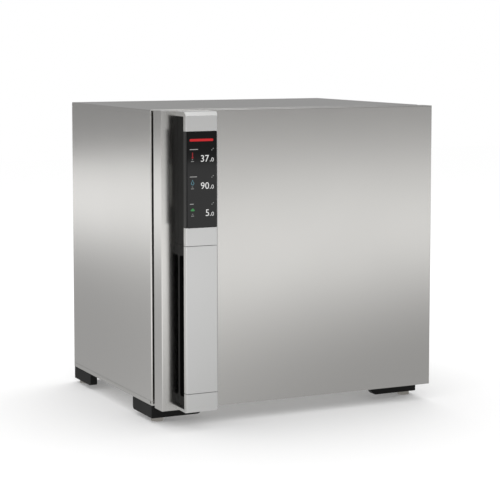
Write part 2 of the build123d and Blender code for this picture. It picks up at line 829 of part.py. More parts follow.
with BuildPart() as access_port_plug:
    round_bar(port_x, port_z, port_bore - fit, (port_face - plug_length, plug_seat))
    round_bar(port_x, port_z, port_bore + plug_rim, (plug_seat, plug_seat + plug_head))
    fillet(access_port_plug.faces().sort_by(Axis.Y)[-1].edges(), plug_round)
    chamfer(access_port_plug.faces().sort_by(Axis.Y)[0].edges(), plug_chamfer)
save(access_port_plug, "access_port_plug")

# Electrics in the rear bay
electrics_rise = 80.0
electrics_z = base + electrics_rise
supply_left = 40.0
supply_size = (110.0, 38.0, 180.0)
supply_hole = (8.0, 5.0)
supply_hole_pitch = 12.0
supply_hole_columns = 5
supply_hole_rows = 8
supply_hole_depth = 3.0
supply_rear = foam_back + supply_size[1]
with BuildPart() as power_supply:
    slab(
        (supply_left, supply_left + supply_size[0]), (foam_back, supply_rear),
        (electrics_z, electrics_z + supply_size[2]),
    )
    with BuildSketch(front_plane(supply_rear)):
        with Locations((supply_left + supply_size[0] / 2, electrics_z + supply_size[2] / 2)):
            with GridLocations(
                supply_hole_pitch, supply_hole_pitch, supply_hole_columns, supply_hole_rows
            ):
                Rectangle(*supply_hole)
    extrude(amount=supply_hole_depth, mode=Mode.SUBTRACT)
save(power_supply, "power_supply")

board_left = -150.0
board_size = (160.0, 1.6, 170.0)
board_standoff = 10.0
post_inset = 8.0
post_radius = 3.5
chip_place = (30.0, 70.0)
chip_size = (30.0, 4.0, 30.0)
transformer_place = (90.0, 20.0)
transformer_size = (50.0, 16.0, 30.0)
relay_place = (14.0, 130.0)
relay_size = (22.0, 12.0, 18.0)
relay_pitch = 34.0
relay_count = 4
board_x = (board_left, board_left + board_size[0])
board_z = (electrics_z, electrics_z + board_size[2])
board_y = (foam_back + board_standoff, foam_back + board_standoff + board_size[1])
relay_places = [(relay_place[0] + relay * relay_pitch, relay_place[1]) for relay in range(relay_count)]
with BuildPart() as control_board:
    slab(board_x, board_y, board_z)
    for post_x in (board_x[0] + post_inset, board_x[1] - post_inset):
        for post_z in (board_z[0] + post_inset, board_z[1] - post_inset):
            round_bar(post_x, post_z, post_radius, (foam_back, board_y[0]))
    for place, size in (
        (chip_place, chip_size), (transformer_place, transformer_size),
        *((place, relay_size) for place in relay_places),
    ):
        slab(
            (board_x[0] + place[0], board_x[0] + place[0] + size[0]), (board_y[1], board_y[1] + size[1]),
            (board_z[0] + place[1], board_z[0] + place[1] + size[2]),
        )
save(control_board, "control_board")

inlet_body_depth = 28.0
inlet_flange = 3.0
inlet_flange_rim = (14.0, 10.0)
inlet_flange_round = 4.0
inlet_well = (32.0, 22.0, 18.0)
inlet_well_round = 3.0
pin_pitch = 7.0
pin_size = (2.0, 16.0, 5.0)
with BuildPart() as power_inlet:
    power_half = (power_cutout[0] / 2, power_cutout[1] / 2)
    power_x_span = (power_x - power_half[0], power_x + power_half[0])
    power_z_span = (socket_z - power_half[1], socket_z + power_half[1])
    slab(power_x_span, (body_back - inlet_body_depth, body_back), power_z_span)
    with BuildSketch(front_plane(body_back + inlet_flange)):
        with Locations((power_x, socket_z)):
            RectangleRounded(
                power_cutout[0] + inlet_flange_rim[0], power_cutout[1] + inlet_flange_rim[1],
                inlet_flange_round,
            )
    extrude(amount=inlet_flange)
    with BuildSketch(front_plane(body_back + inlet_flange)):
        with Locations((power_x, socket_z)):
            RectangleRounded(inlet_well[0], inlet_well[1], inlet_well_round)
    extrude(amount=inlet_well[2], mode=Mode.SUBTRACT)
    for pin_x in (power_x - pin_pitch, power_x, power_x + pin_pitch):
        slab(
            (pin_x - pin_size[0] / 2, pin_x + pin_size[0] / 2), (body_back - pin_size[1], body_back),
            (socket_z - pin_size[2] / 2, socket_z + pin_size[2] / 2),
        )
save(power_inlet, "power_inlet")

network_body_depth = 20.0
network_lead = 1.0
network_rim = 2.0
network_well = (12.0, 13.0, 9.0)
network_well_drop = 0.5
with BuildPart() as network_port:
    network_half = (network_cutout[0] / 2, network_cutout[1] / 2)
    network_face = body_back + network_lead
    slab(
        (network_x - network_half[0], network_x + network_half[0]),
        (body_back - network_body_depth, network_face),
        (socket_z - network_half[1], socket_z + network_half[1]),
    )
    slab(
        (network_x - network_half[0] - network_rim, network_x + network_half[0] + network_rim),
        (body_back - sheet - network_rim, body_back - sheet),
        (socket_z - network_half[1] - network_rim, socket_z + network_half[1] + network_rim),
    )
    slab(
        (network_x - network_well[0] / 2, network_x + network_well[0] / 2),
        (network_face - network_well[1], network_face),
        (
            socket_z - network_well_drop - network_well[2] / 2,
            socket_z - network_well_drop + network_well[2] / 2,
        ),
        Mode.SUBTRACT,
    )
save(network_port, "network_port")

# Corner foot blocks: an L-shaped moulding with a boss over the levelling stud
with BuildPart() as foot_block_front_left:
    corner = (-side, body_front)
    with BuildSketch(Plane.XY.offset(foot_clearance)):
        with Locations((corner[0] + block_leg_x / 2, corner[1] + block_thickness / 2)):
            Rectangle(block_leg_x, block_thickness)
        with Locations((corner[0] + block_thickness / 2, corner[1] + block_leg_y / 2)):
            Rectangle(block_thickness, block_leg_y)
        with Locations((corner[0] + foot_inset, corner[1] + foot_inset)):
            Circle(block_boss_radius)
    extrude(amount=foot_block_height)
    lower_edges = foot_block_front_left.edges().group_by(Axis.Z)[0]
    fillet(lower_edges.filter_by(Axis.Y).sort_by(Axis.X)[-1], block_end_round_x)
    lower_edges = foot_block_front_left.edges().group_by(Axis.Z)[0]
    fillet(lower_edges.filter_by(Axis.X).sort_by(Axis.Y)[-1], block_end_round_y)
    fillet(
        foot_block_front_left.edges().filter_by(Axis.Z).group_by(Axis.Y)[0].sort_by(Axis.X)[0], edge_round
    )
    upright_bar(
        corner[0] + foot_inset, corner[1] + foot_inset, stud_radius + pin_clearance,
        (foot_clearance, base), Mode.SUBTRACT,
    )
save(foot_block_front_left, "foot_block_front_left")

across = Plane.XZ.offset(-middle_y)
with BuildPart() as foot_block_front_right:
    mirror(foot_block_front_left.part, about=Plane.YZ)
save(foot_block_front_right, "foot_block_front_right")

with BuildPart() as foot_block_rear_left:
    mirror(foot_block_front_left.part, about=across)
save(foot_block_rear_left, "foot_block_rear_left")

with BuildPart() as foot_block_rear_right:
    mirror(foot_block_front_right.part, about=across)
save(foot_block_rear_right, "foot_block_rear_right")

# Levelling feet: a hexagonal foot on a stud that turns in the block
foot_names = ["front_left", "rear_left", "front_right", "rear_right"]
for foot_name, (foot_x, foot_y) in zip(foot_names, foot_centres):
    with BuildPart() as leveling_foot:
        with BuildSketch():
            with Locations((foot_x, foot_y)):
                RegularPolygon(radius=foot_width / 2, side_count=foot_flats)
        extrude(amount=foot_clearance - fit)
        chamfer(leveling_foot.faces().sort_by(Axis.Z)[0].edges(), foot_chamfer)
        upright_bar(foot_x, foot_y, stud_radius, (0, stud_top))
    save(leveling_foot, f"leveling_foot_{foot_name}")

# Outer door hinges
hinge_spans = [
    (z - hinge_height / 2, z + hinge_height / 2) for z in (base + hinge_offset, top - hinge_offset)
]
leaf_x_span = (side - panel_flange, hinge_axis_x - knuckle_radius - knuckle_gap)
with BuildPart() as hinge_brackets:
    for z_span in hinge_spans:
        hinge_half(
            hinge_axis_x, hinge_axis_y, leaf_x_span, (body_front - hinge_leaf, body_front),
            z_span, hinge_bands(z_span)[0], knuckle_radius, hinge_pin_radius,
        )
save(hinge_brackets, "hinge_brackets")

with BuildPart() as door_hinge_leaves:
    for z_span in hinge_spans:
        hinge_half(
            hinge_axis_x, hinge_axis_y, leaf_x_span, (door_back, door_back + hinge_leaf),
            z_span, hinge_bands(z_span)[1], knuckle_radius, hinge_pin_radius,
        )
save(door_hinge_leaves, "door_hinge_leaves")

with BuildPart() as hinge_pins:
    for z_span in hinge_spans:
        upright_bar(hinge_axis_x, hinge_axis_y, hinge_pin_radius, z_span)
        upright_bar(
            hinge_axis_x, hinge_axis_y, knuckle_radius - pin_head_inset, (z_span[1], z_span[1] + pin_head)
        )
save(hinge_pins, "hinge_pins")

# Outer door: folded steel pan with a returned rear flange, foam, and a liner that closes it
with BuildPart() as door_skin:
    slab((-side, side), (door_front, door_back), (base, top))
    fillet(door_skin.faces().sort_by(Axis.Y)[-1].edges(), edge_round)
    fillet(door_skin.faces().sort_by(Axis.Y)[0].edges(), bend)
    slab(
        (-panel_inner, panel_inner), (door_front + sheet, door_back - sheet),
        (base + sheet, top - sheet), Mode.SUBTRACT,
    )
    slab(
        (-side + panel_flange, side - panel_flange), (door_back - sheet, door_back),
        (base + panel_flange, top - panel_flange), Mode.SUBTRACT,
    )
save(door_skin, "door_skin")

liner_half_width = side - panel_flange - fit
liner_half_height = body_height / 2 - panel_flange - fit
pan_half_width = liner_half_width - liner_border
pan_half_height = liner_half_height - liner_border
liner_front = door_back - liner_thickness - liner_recess
with BuildPart() as door_liner:
    front_block(liner_half_width, liner_half_height, edge_round, (door_back - liner_thickness, door_back))
    front_block(pan_half_width, pan_half_height, chamber_radius, (liner_front, door_back))
    front_block(
        pan_half_width - liner_thickness, pan_half_height - liner_thickness,
        chamber_radius - liner_thickness, (door_back - liner_recess, door_back), Mode.SUBTRACT,
    )
save(door_liner, "door_liner")

with BuildPart() as door_insulation:
    slab(
        (-panel_inner + fit, panel_inner - fit), (door_front + sheet, liner_front),
        (base + sheet + fit, top - sheet - fit),
    )
save(door_insulation, "door_insulation")

# Door gasket: a base strip, a narrow bellows and a magnet head that meets the cabinet
gasket_half_width = side - gasket_inset
gasket_half_height = body_height / 2 - gasket_inset
bellows_end = gasket_base + gasket_bellows
gasket_layers = [
    (0, gasket_base, 0),
    (gasket_base, bellows_end, gasket_bellows_inset),
    (bellows_end, door_gap - fit, gasket_head_inset),
]
with BuildPart() as door_gasket:
    for layer_start, layer_end, layer_inset in gasket_layers:
        layer_y = (door_back + layer_start, door_back + layer_end)
        front_block(
            gasket_half_width - layer_inset, gasket_half_height - layer_inset, edge_round * 2, layer_y
        )
        inner_inset = gasket_width - layer_inset
        front_block(
            gasket_half_width - inner_inset, gasket_half_height - inner_inset, edge_round, layer_y,
            Mode.SUBTRACT,
        )
save(door_gasket, "door_gasket")



def soften_bar(piece):
    """Crisp left and softer right front edge that run the length of the bar."""
    fillet(piece.edges().filter_by(Axis.Z).group_by(Axis.Y)[0].sort_by(Axis.X)[-1], bar_soft_edge)
    fillet(piece.edges().filter_by(Axis.Z).group_by(Axis.Y)[0].sort_by(Axis.X)[0], bar_edge)


# Handle and display bar: display bezel with its return to the door at the top
with BuildPart() as display_bezel:
    with BuildSketch(Plane.YZ.offset(bar_left)):
        with BuildLine():
            Polyline(
                (door_front, bar_high), (handle_face + bar_bevel, bar_high),
                (handle_face, bar_high - bar_bevel), (handle_face, display_seam + bar_seam / 2),
                (plate_back, display_seam + bar_seam / 2), (plate_back, bar_high - cap_top),
                (door_front, bar_high - cap_top), close=True,
            )
        make_face()
    extrude(amount=bar_width)
    soften_bar(display_bezel)
    glass_span_x = (bar_left + glass_margin, bar_right - glass_margin)
    glass_centre = ((glass_span_x[0] + glass_span_x[1]) / 2, (display_glass_low + display_glass_high) / 2)
    glass_size = (glass_span_x[1] - glass_span_x[0], display_glass_high - display_glass_low)
    pocket_back = handle_face + display_glass_recess + display_glass_thickness
    with BuildSketch(front_plane(pocket_back)):
        with Locations(glass_centre):
            RectangleRounded(glass_size[0] + 2 * fit, glass_size[1] + 2 * fit, display_glass_radius + fit)
    extrude(amount=pocket_back - handle_face, mode=Mode.SUBTRACT)
    with BuildSketch(front_plane(plate_back)):
        with Locations(glass_centre):
            Rectangle(glass_size[0] - 2 * window_border, glass_size[1] - 2 * window_border)
    extrude(amount=plate_back - handle_face, mode=Mode.SUBTRACT)
save(display_bezel, "display_bezel")

with BuildPart() as display_glass:
    with BuildSketch(front_plane(pocket_back)):
        with Locations(glass_centre):
            RectangleRounded(glass_size[0], glass_size[1], display_glass_radius)
    extrude(amount=display_glass_thickness)
    chamfer(display_glass.faces().sort_by(Axis.Y)[0].edges(), display_glass_recess)
save(display_glass, "display_glass")

with BuildPart() as display_panel:
    with BuildSketch(front_plane(plate_back)):
        with Locations(glass_centre):
            Rectangle(
                glass_size[0] - 2 * window_border - 2 * fit, glass_size[1] - 2 * window_border - 2 * fit
            )
    extrude(amount=plate_back - pocket_back)
save(display_panel, "display_panel")

with BuildPart() as handle_plate:
    plate_z = (end_cap_seam + bar_seam / 2, display_seam - bar_seam / 2)
    slab((bar_left, bar_right), (handle_face, plate_back), plate_z)
    soften_bar(handle_plate)
save(handle_plate, "handle_plate")

with BuildPart() as handle_end_cap:
    with BuildSketch(Plane.YZ.offset(bar_left)):
        with BuildLine():
            Polyline(
                (door_front, bar_low), (door_front, bar_low + cap_bottom), (plate_back, bar_low + cap_bottom),
                (plate_back, end_cap_seam - bar_seam / 2), (handle_face, end_cap_seam - bar_seam / 2),
                (handle_face, bar_low + bar_bevel),
            )
            RadiusArc((handle_face, bar_low + bar_bevel), (handle_face + bar_bevel, bar_low), -bar_bevel)
            Line((handle_face + bar_bevel, bar_low), (door_front, bar_low))
        make_face()
    extrude(amount=bar_width)
    with BuildSketch(front_plane(door_front)) as rounded_end:
        with Locations(((bar_left + bar_right) / 2, bar_low + end_cap_height / 2)):
            Rectangle(bar_width, end_cap_height)
        fillet(rounded_end.vertices().group_by(Axis.Y)[0].sort_by(Axis.X)[-1], bar_corner)
    extrude(rounded_end.sketch, amount=handle_proud, mode=Mode.INTERSECT)
    soften_bar(handle_end_cap)
save(handle_end_cap, "handle_end_cap")

# Dark housing behind the display, and the finger grip below it
core_x_span = (bar_left + bar_side_inset, bar_right - bar_side_inset)
with BuildPart() as display_body:
    slab(core_x_span, (plate_back, door_front), (display_seam + seam / 2, bar_high - cap_top))
save(display_body, "display_body")

with BuildPart() as grip_body:
    grip_z = (bar_low + cap_bottom, display_seam - seam / 2)
    slab(core_x_span, (plate_back, door_front), grip_z)
    recess_x = (core_x_span[0] - grip_overrun, core_x_span[0] + grip_depth)
    recess_y = (plate_back + grip_wall, door_front - grip_wall)
    recess_z = (grip_z[0] + grip_end, grip_z[1] - grip_end)
    with BuildSketch(Plane.YZ.offset(recess_x[0])):
        with Locations(((recess_y[0] + recess_y[1]) / 2, (recess_z[0] + recess_z[1]) / 2)):
            RectangleRounded(recess_y[1] - recess_y[0], recess_z[1] - recess_z[0], grip_round)
    extrude(amount=recess_x[1] - recess_x[0], mode=Mode.SUBTRACT)
save(grip_body, "grip_body")

with BuildPart() as port_cover:
    slab(
        (core_x_span[0] - port_cover_thickness, core_x_span[0]),
        (plate_back + fit, plate_back + fit + port_cover_width), (port_cover_low, port_cover_high),
    )
save(port_cover, "port_cover")

# Inner glass door: pane, hinge leaves, mounts and pins
glass_hinge_spans = [
    (z - glass_hinge_height / 2, z + glass_hinge_height / 2)
    for z in (chamber_floor + glass_hinge_offset, chamber_ceiling - glass_hinge_offset)
]
latch_x = -glass_half_width + latch_inset
with BuildPart() as glass_pane:
    front_block(glass_half_width, glass_half_height, glass_radius, (glass_front, glass_back))
    round_bar(
        latch_x, middle_z, latch_shaft_radius + pin_clearance, (glass_front, glass_back), Mode.SUBTRACT
    )
save(glass_pane, "glass_pane")

with BuildPart() as glass_hinge_leaves:
    leaf_end = glass_axis_x - glass_knuckle_radius - knuckle_gap
    for z_span in glass_hinge_spans:
        hinge_half(
            glass_axis_x, glass_axis_y, (glass_axis_x - glass_leaf_length, leaf_end),
            (glass_front - glass_leaf, glass_front), z_span, hinge_bands(z_span)[1],
            glass_knuckle_radius, glass_pin_radius,
        )
save(glass_hinge_leaves, "glass_hinge_leaves")

with BuildPart() as glass_hinge_mounts:
    mount_start = glass_axis_x + glass_knuckle_radius + knuckle_gap
    for z_span in glass_hinge_spans:
        hinge_half(
            glass_axis_x, glass_axis_y, (mount_start, glass_axis_x + mount_leaf_length),
            (body_front - mount_leaf, body_front), z_span, hinge_bands(z_span)[0],
            glass_knuckle_radius, glass_pin_radius,
        )
save(glass_hinge_mounts, "glass_hinge_mounts")

with BuildPart() as glass_hinge_pins:
    for z_span in glass_hinge_spans:
        upright_bar(glass_axis_x, glass_axis_y, glass_pin_radius, z_span)
        upright_bar(
            glass_axis_x, glass_axis_y, glass_knuckle_radius - pin_head_inset,
            (z_span[1], z_span[1] + pin_head),
        )
save(glass_hinge_pins, "glass_hinge_pins")

# Latch lever on the pane, shown released, and the keeper that it turns under
lever_rear = glass_front - latch_lever_lift
lever_y = (lever_rear - latch_lever_thickness, lever_rear)
with BuildPart() as glass_latch:
    round_bar(latch_x, middle_z, latch_hub_radius, (glass_front - latch_hub_height, glass_front - fit))
    fillet(glass_latch.faces().sort_by(Axis.Y)[0].edges(), latch_edge_round)
    with BuildSketch(front_plane(lever_y[1])):
        with Locations((latch_x, middle_z + (latch_reach - latch_lever_width / 2) / 2)):
            Rectangle(latch_lever_width, latch_reach - latch_lever_width / 2)
        with Locations((latch_x, middle_z + latch_reach - latch_lever_width / 2)):
            Circle(latch_lever_width / 2)
    extrude(amount=lever_y[1] - lever_y[0])
    round_bar(latch_x, middle_z, latch_shaft_radius, (glass_front - fit, glass_back + fit))
    round_bar(
        latch_x, middle_z, latch_shaft_radius + latch_washer_rim,
        (glass_back + fit, glass_back + fit + latch_washer_thickness),
    )
save(glass_latch, "glass_latch")

keeper_tip = latch_x - latch_reach
keeper_x = (keeper_tip - 2 * keeper_wall, keeper_tip - keeper_wall, keeper_tip + keeper_catch)
catch_y = (lever_y[0] - keeper_gap, lever_y[1] + keeper_gap)
with BuildPart() as latch_keeper:
    with BuildSketch(Plane.XY.offset(middle_z - latch_lever_width)):
        with BuildLine():
            Polyline(
                (keeper_x[0], body_front), (keeper_x[2], body_front), (keeper_x[2], catch_y[1]),
                (keeper_x[1], catch_y[1]), (keeper_x[1], catch_y[0]), (keeper_x[2], catch_y[0]),
                (keeper_x[2], catch_y[0] - keeper_lip), (keeper_x[0], catch_y[0] - keeper_lip), close=True,
            )
        make_face()
    extrude(amount=2 * latch_lever_width)
save(latch_keeper, "latch_keeper")
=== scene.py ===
"""Carbon dioxide incubator: finishes, display, fasteners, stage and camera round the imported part."""

import math

import bmesh
import bpy
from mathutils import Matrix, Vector


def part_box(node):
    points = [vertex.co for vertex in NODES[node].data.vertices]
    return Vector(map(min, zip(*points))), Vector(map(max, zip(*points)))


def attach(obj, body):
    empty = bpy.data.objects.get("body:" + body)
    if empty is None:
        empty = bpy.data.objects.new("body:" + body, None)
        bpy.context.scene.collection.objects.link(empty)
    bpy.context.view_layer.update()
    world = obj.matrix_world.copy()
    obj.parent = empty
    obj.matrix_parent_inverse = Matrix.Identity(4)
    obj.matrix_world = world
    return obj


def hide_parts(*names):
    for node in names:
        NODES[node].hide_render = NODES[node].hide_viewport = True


bl_info = {
    "name": "Incubator dressing",
    "version": (1, 0, 0),
    "blender": (4, 5, 0),
    "location": "3D View > Sidebar > Incubator",
    "description": "Gives the packed incubator its finishes, display, fasteners and studio",
    "category": "Object",
}

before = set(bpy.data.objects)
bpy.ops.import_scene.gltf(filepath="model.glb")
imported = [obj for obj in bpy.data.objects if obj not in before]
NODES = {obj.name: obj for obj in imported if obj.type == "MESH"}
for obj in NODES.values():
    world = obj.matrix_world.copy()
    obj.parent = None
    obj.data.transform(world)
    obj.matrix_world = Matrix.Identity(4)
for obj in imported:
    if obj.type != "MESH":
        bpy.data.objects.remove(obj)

MM = 0.001
CABINET_BODY = "cabinet"
DOOR_BODY = "door"

# The display window and its cover glass, in metres.
WINDOW_LOW, WINDOW_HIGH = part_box("display_glass")
WINDOW_CENTRE = (WINDOW_LOW + WINDOW_HIGH) / 2
WINDOW_WIDTH = WINDOW_HIGH.x - WINDOW_LOW.x
WINDOW_HEIGHT = WINDOW_HIGH.z - WINDOW_LOW.z
COVER_BEVEL = 0.7 * MM
COVER_CORNER = 1.8 * MM
MARK_THICKNESS = 0.1 * MM

# Screw heads: radius, height, socket reach and socket depth.
BUTTON_HEAD = (3.8 * MM, 2.2 * MM, 1.5 * MM, 1.4 * MM)
FLAT_HEAD = (3.4 * MM, 0.6 * MM, 1.4 * MM, 0.5 * MM)
SCREW_STEPS = 24
PANEL_SCREW_INSET = 9.0 * MM
PANEL_SCREW_ROWS = 4
LEAF_THICKNESS = 3.0 * MM
LEAF_HEIGHT = 66.0 * MM
LEAF_SCREW_INSET = 8.0 * MM
LEAF_SCREW_SPREAD = 22.0 * MM

# The studio floor: its own even glow towards the camera, then a painted pool of light and shade that only
# glossy surfaces mirror, darker near its centre, with its centre, radius and half the width of its soft edge
# in metres.
FLOOR_LIFT = 0.15
POOL_CENTRE = (2.9, 2.2, 0.0)
POOL_RADIUS = 4.5
POOL_FADE = 0.8

# The readings on the glass, in metres.
ROW_PITCH = 61.7 * MM
TOP_ROW_BASE = 617.3 * MM
READING_HEIGHT = 15.2 * MM
READING_RIGHT = -266.4 * MM
POINT_X = -263.3 * MM
POINT_RADIUS = 1.1 * MM
TENTHS_HEIGHT = 9.0 * MM
TENTHS_SPAN = (-260.8 * MM, -254.6 * MM)
LABEL_LIFT = 27.2 * MM
LABEL_THICKNESS = 1.8 * MM
SIGN_X = -307.0 * MM
SIGN_LIFT = 14.6 * MM
ARROWS_X = -257.6 * MM
ARROWS_LIFT = 27.8 * MM
STATUS_SPAN_X = (-314.0 * MM, -256.0 * MM)
STATUS_SPAN_Z = (663.6 * MM, 669.2 * MM)
LABEL_LENGTHS = (20.5 * MM, 18.0 * MM, 9.5 * MM)

# The two short bars left of each reading: span along x, and rise above the foot of the row.
STATE_BARS = (
    ((-309.0 * MM, -305.6 * MM), (4.9 * MM, 5.9 * MM)),
    ((-311.0 * MM, -303.8 * MM), (0.6 * MM, 1.8 * MM)))

# Height of a figure as a share of its type size.
FIGURE_SHARE = 0.7

# The black print beside the glass.
PRINT_COLOUR = (0.006, 0.006, 0.006, 1.0)

# Soft lamps: name, place, aim, width, height and share of the panel power.
LAMPS = (
    ("front_panel", (-1.2, -4.2, 3.0), (0.0, -0.3, 0.3), 2.2, 1.6, 0.5),
    ("top_panel", (0.4, 0.9, 3.4), (0.0, 0.0, 0.4), 2.4, 2.4, 1.6))

# The camera of the photograph: metres, then degrees, then millimetres of lens and sensor.
CAMERA_PLACE = (-1.8102, -3.7218, 0.8906)
CAMERA_TILT = 5.185
CAMERA_TURN = -25.849
CAMERA_LENS = 118.98
CAMERA_SENSOR = 36.0
CAMERA_SHIFT = (0.0033, -0.12)


# Settings shown in the sidebar

class IncubatorFinishes(bpy.types.PropertyGroup):
    shell_colour: bpy.props.FloatVectorProperty(
        name="Shell colour", description="Reflected colour of the stainless shell",
        default=(0.65, 0.64, 0.62), min=0, max=1, subtype="COLOR")
    shell_roughness: bpy.props.FloatProperty(
        name="Shell roughness", description="How widely the shell blurs what it reflects",
        default=0.19, min=0, max=1, subtype="FACTOR")
    shell_grain: bpy.props.FloatProperty(
        name="Shell grain", description="Width of one grain of the rolled texture",
        default=0.0011, min=0.0001, max=0.01, unit="LENGTH", subtype="DISTANCE")
    silver_colour: bpy.props.FloatVectorProperty(
        name="Silver colour", description="Colour of the satin parts of the handle bar",
        default=(0.84, 0.84, 0.83), min=0, max=1, subtype="COLOR")
    black_colour: bpy.props.FloatVectorProperty(
        name="Black colour", description="Colour of the moulded black parts",
        default=(0.006, 0.006, 0.006), min=0, max=1, subtype="COLOR")


class IncubatorDisplay(bpy.types.PropertyGroup):
    temperature: bpy.props.FloatProperty(
        name="Temperature", description="Chamber temperature shown, in degrees", default=37.0)
    humidity: bpy.props.FloatProperty(
        name="Humidity", description="Relative humidity shown, in percent", default=90.0)
    gas_share: bpy.props.FloatProperty(
        name="Gas share", description="Share of carbon dioxide shown, in percent", default=5.0)
    brightness: bpy.props.FloatProperty(
        name="Brightness", description="How bright the readings glow", default=0.85, min=0, max=5)


class IncubatorStage(bpy.types.PropertyGroup):
    floor_size: bpy.props.FloatProperty(
        name="Floor size", description="Side of the square studio floor",
        default=16.0, min=1, unit="LENGTH", subtype="DISTANCE")
    floor_tone: bpy.props.FloatProperty(
        name="Floor tone", description="How much light the floor sends back",
        default=0.86, min=0, max=1, subtype="FACTOR")
    ceiling_tone: bpy.props.FloatProperty(
        name="Ceiling tone", description="Brightness of the studio above the object",
        default=0.35, min=0, max=1, subtype="FACTOR")
    # Painted light: brightness of the far floor, seen only by glossy rays.
    floor_painted_light: bpy.props.FloatProperty(
        name="Floor glow", description="Brightness of the far floor as glossy surfaces mirror it",
        default=1.18, min=0, max=2, subtype="FACTOR")
    # Painted shade: brightness of the near floor, seen only by glossy rays.
    floor_painted_shade: bpy.props.FloatProperty(
        name="Floor pool", description="Brightness of the near floor as glossy surfaces mirror it",
        default=0.46, min=0, max=2, subtype="FACTOR")
    ambient: bpy.props.FloatProperty(
        name="Ambient light", description="Even light that reaches the object from all round",
        default=0.98, min=0, max=2, subtype="FACTOR")
    panel_power: bpy.props.FloatProperty(
        name="Front panel power", description="Light of the large soft panel in front",
        default=16.0, min=0, subtype="POWER")


# Small tools for node materials

class Finish:
    """One material under construction: its nodes, links and shader."""

    def __init__(self, name):
        self.material = bpy.data.materials.new(name)
        self.material.use_nodes = True
        self.tree = self.material.node_tree
        self.shader = self.tree.nodes["Principled BSDF"]
        self.column = -900

    def node(self, kind, **values):
        node = self.tree.nodes.new(kind)
        for key, value in values.items():
            setattr(node, key, value)
        node.location = (self.column, 0)
        self.column += 40
        return node

    def link(self, source, target):
        self.tree.links.new(source, target)

    def place(self):
        return self.node("ShaderNodeTexCoord").outputs["Object"]

    def group(self, tree, **inputs):
        node = self.node("ShaderNodeGroup")
        node.node_tree = tree
        for key, value in inputs.items():
            node.inputs[key.replace("_", " ")].default_value = value
        self.link(self.place(), node.inputs["Place"])
        return node

    def plain(self, **values):
        for key, value in values.items():
            socket = self.shader.inputs[key.replace("_", " ")]
            if hasattr(socket.default_value, "__len__") and len(socket.default_value) == 4:
                value = (*value, 1.0)
            socket.default_value = value

    def bump(self, height, strength, distance):
        node = self.node("ShaderNodeBump")
        node.inputs["Strength"].default_value = strength
        node.inputs["Distance"].default_value = distance
        self.link(height, node.inputs["Height"])
        self.link(node.outputs["Normal"], self.shader.inputs["Normal"])


def new_group(name, inputs, outputs):
    tree = bpy.data.node_groups.new(name, "ShaderNodeTree")
    for label, kind, default in inputs:
        socket = tree.interface.new_socket(name=label, in_out="INPUT", socket_type=kind)
        if default is not None:
            socket.default_value = default
    for label, kind in outputs:
        tree.interface.new_socket(name=label, in_out="OUTPUT", socket_type=kind)
    entry = tree.nodes.new("NodeGroupInput")
    leave = tree.nodes.new("NodeGroupOutput")
    leave.location = (900, 0)
    return tree, entry, leave


def group_node(tree, kind, place, **values):
    node = tree.nodes.new(kind)
    node.location = place
    for key, value in values.items():
        setattr(node, key, value)
    return node


def math_step(tree, operation, first, second, place):
    node = group_node(tree, "ShaderNodeMath", place, operation=operation)
    for socket, value in zip(node.inputs, (first, second)):
        if isinstance(value, (int, float)):
            socket.default_value = value
        else:
            tree.links.new(value, socket)
    return node.outputs[0]


def build_grain_group():
    """Directional grain of rolled or brushed metal: a colour factor, a roughness and a height."""
    tree, entry, leave = new_group(
        "rolled_grain",
        [("Place", "NodeSocketVector", None), ("Grain", "NodeSocketVector", (900.0, 900.0, 900.0)),
         ("Colour", "NodeSocketColor", (0.5, 0.5, 0.5, 1.0)), ("Tone", "NodeSocketFloat", 0.06),
         ("Roughness", "NodeSocketFloat", 0.3), ("Spread", "NodeSocketFloat", 0.05)],
        [("Colour", "NodeSocketColor"), ("Roughness", "NodeSocketFloat"), ("Height", "NodeSocketFloat")])
    stretch = group_node(tree, "ShaderNodeVectorMath", (-500, 100), operation="MULTIPLY")
    tree.links.new(entry.outputs["Place"], stretch.inputs[0])
    tree.links.new(entry.outputs["Grain"], stretch.inputs[1])
    fine = group_node(tree, "ShaderNodeTexNoise", (-300, 100))
    fine.inputs["Scale"].default_value = 1.0
    fine.inputs["Detail"].default_value = 3.0
    tree.links.new(stretch.outputs[0], fine.inputs["Vector"])
    cloud = group_node(tree, "ShaderNodeTexNoise", (-300, -200))
    cloud.inputs["Scale"].default_value = 3.2
    cloud.inputs["Detail"].default_value = 2.0
    tree.links.new(entry.outputs["Place"], cloud.inputs["Vector"])
    centred = math_step(tree, "SUBTRACT", fine.outputs["Fac"], 0.5, (-100, 100))
    shade = math_step(tree, "MULTIPLY", centred, entry.outputs["Tone"], (60, 100))
    factor = math_step(tree, "ADD", shade, 1.0, (220, 100))
    colour = group_node(tree, "ShaderNodeVectorMath", (400, 200), operation="SCALE")
    tree.links.new(entry.outputs["Colour"], colour.inputs[0])
    tree.links.new(factor, colour.inputs["Scale"])
    tree.links.new(colour.outputs[0], leave.inputs["Colour"])
    drift = math_step(tree, "SUBTRACT", cloud.outputs["Fac"], 0.5, (-100, -200))
    both = math_step(tree, "ADD", drift, centred, (60, -200))
    uneven = math_step(tree, "MULTIPLY", both, entry.outputs["Spread"], (220, -200))
    rough = math_step(tree, "ADD", uneven, entry.outputs["Roughness"], (400, -200))
    tree.links.new(rough, leave.inputs["Roughness"])
    tree.links.new(fine.outputs["Fac"], leave.inputs["Height"])
    return tree


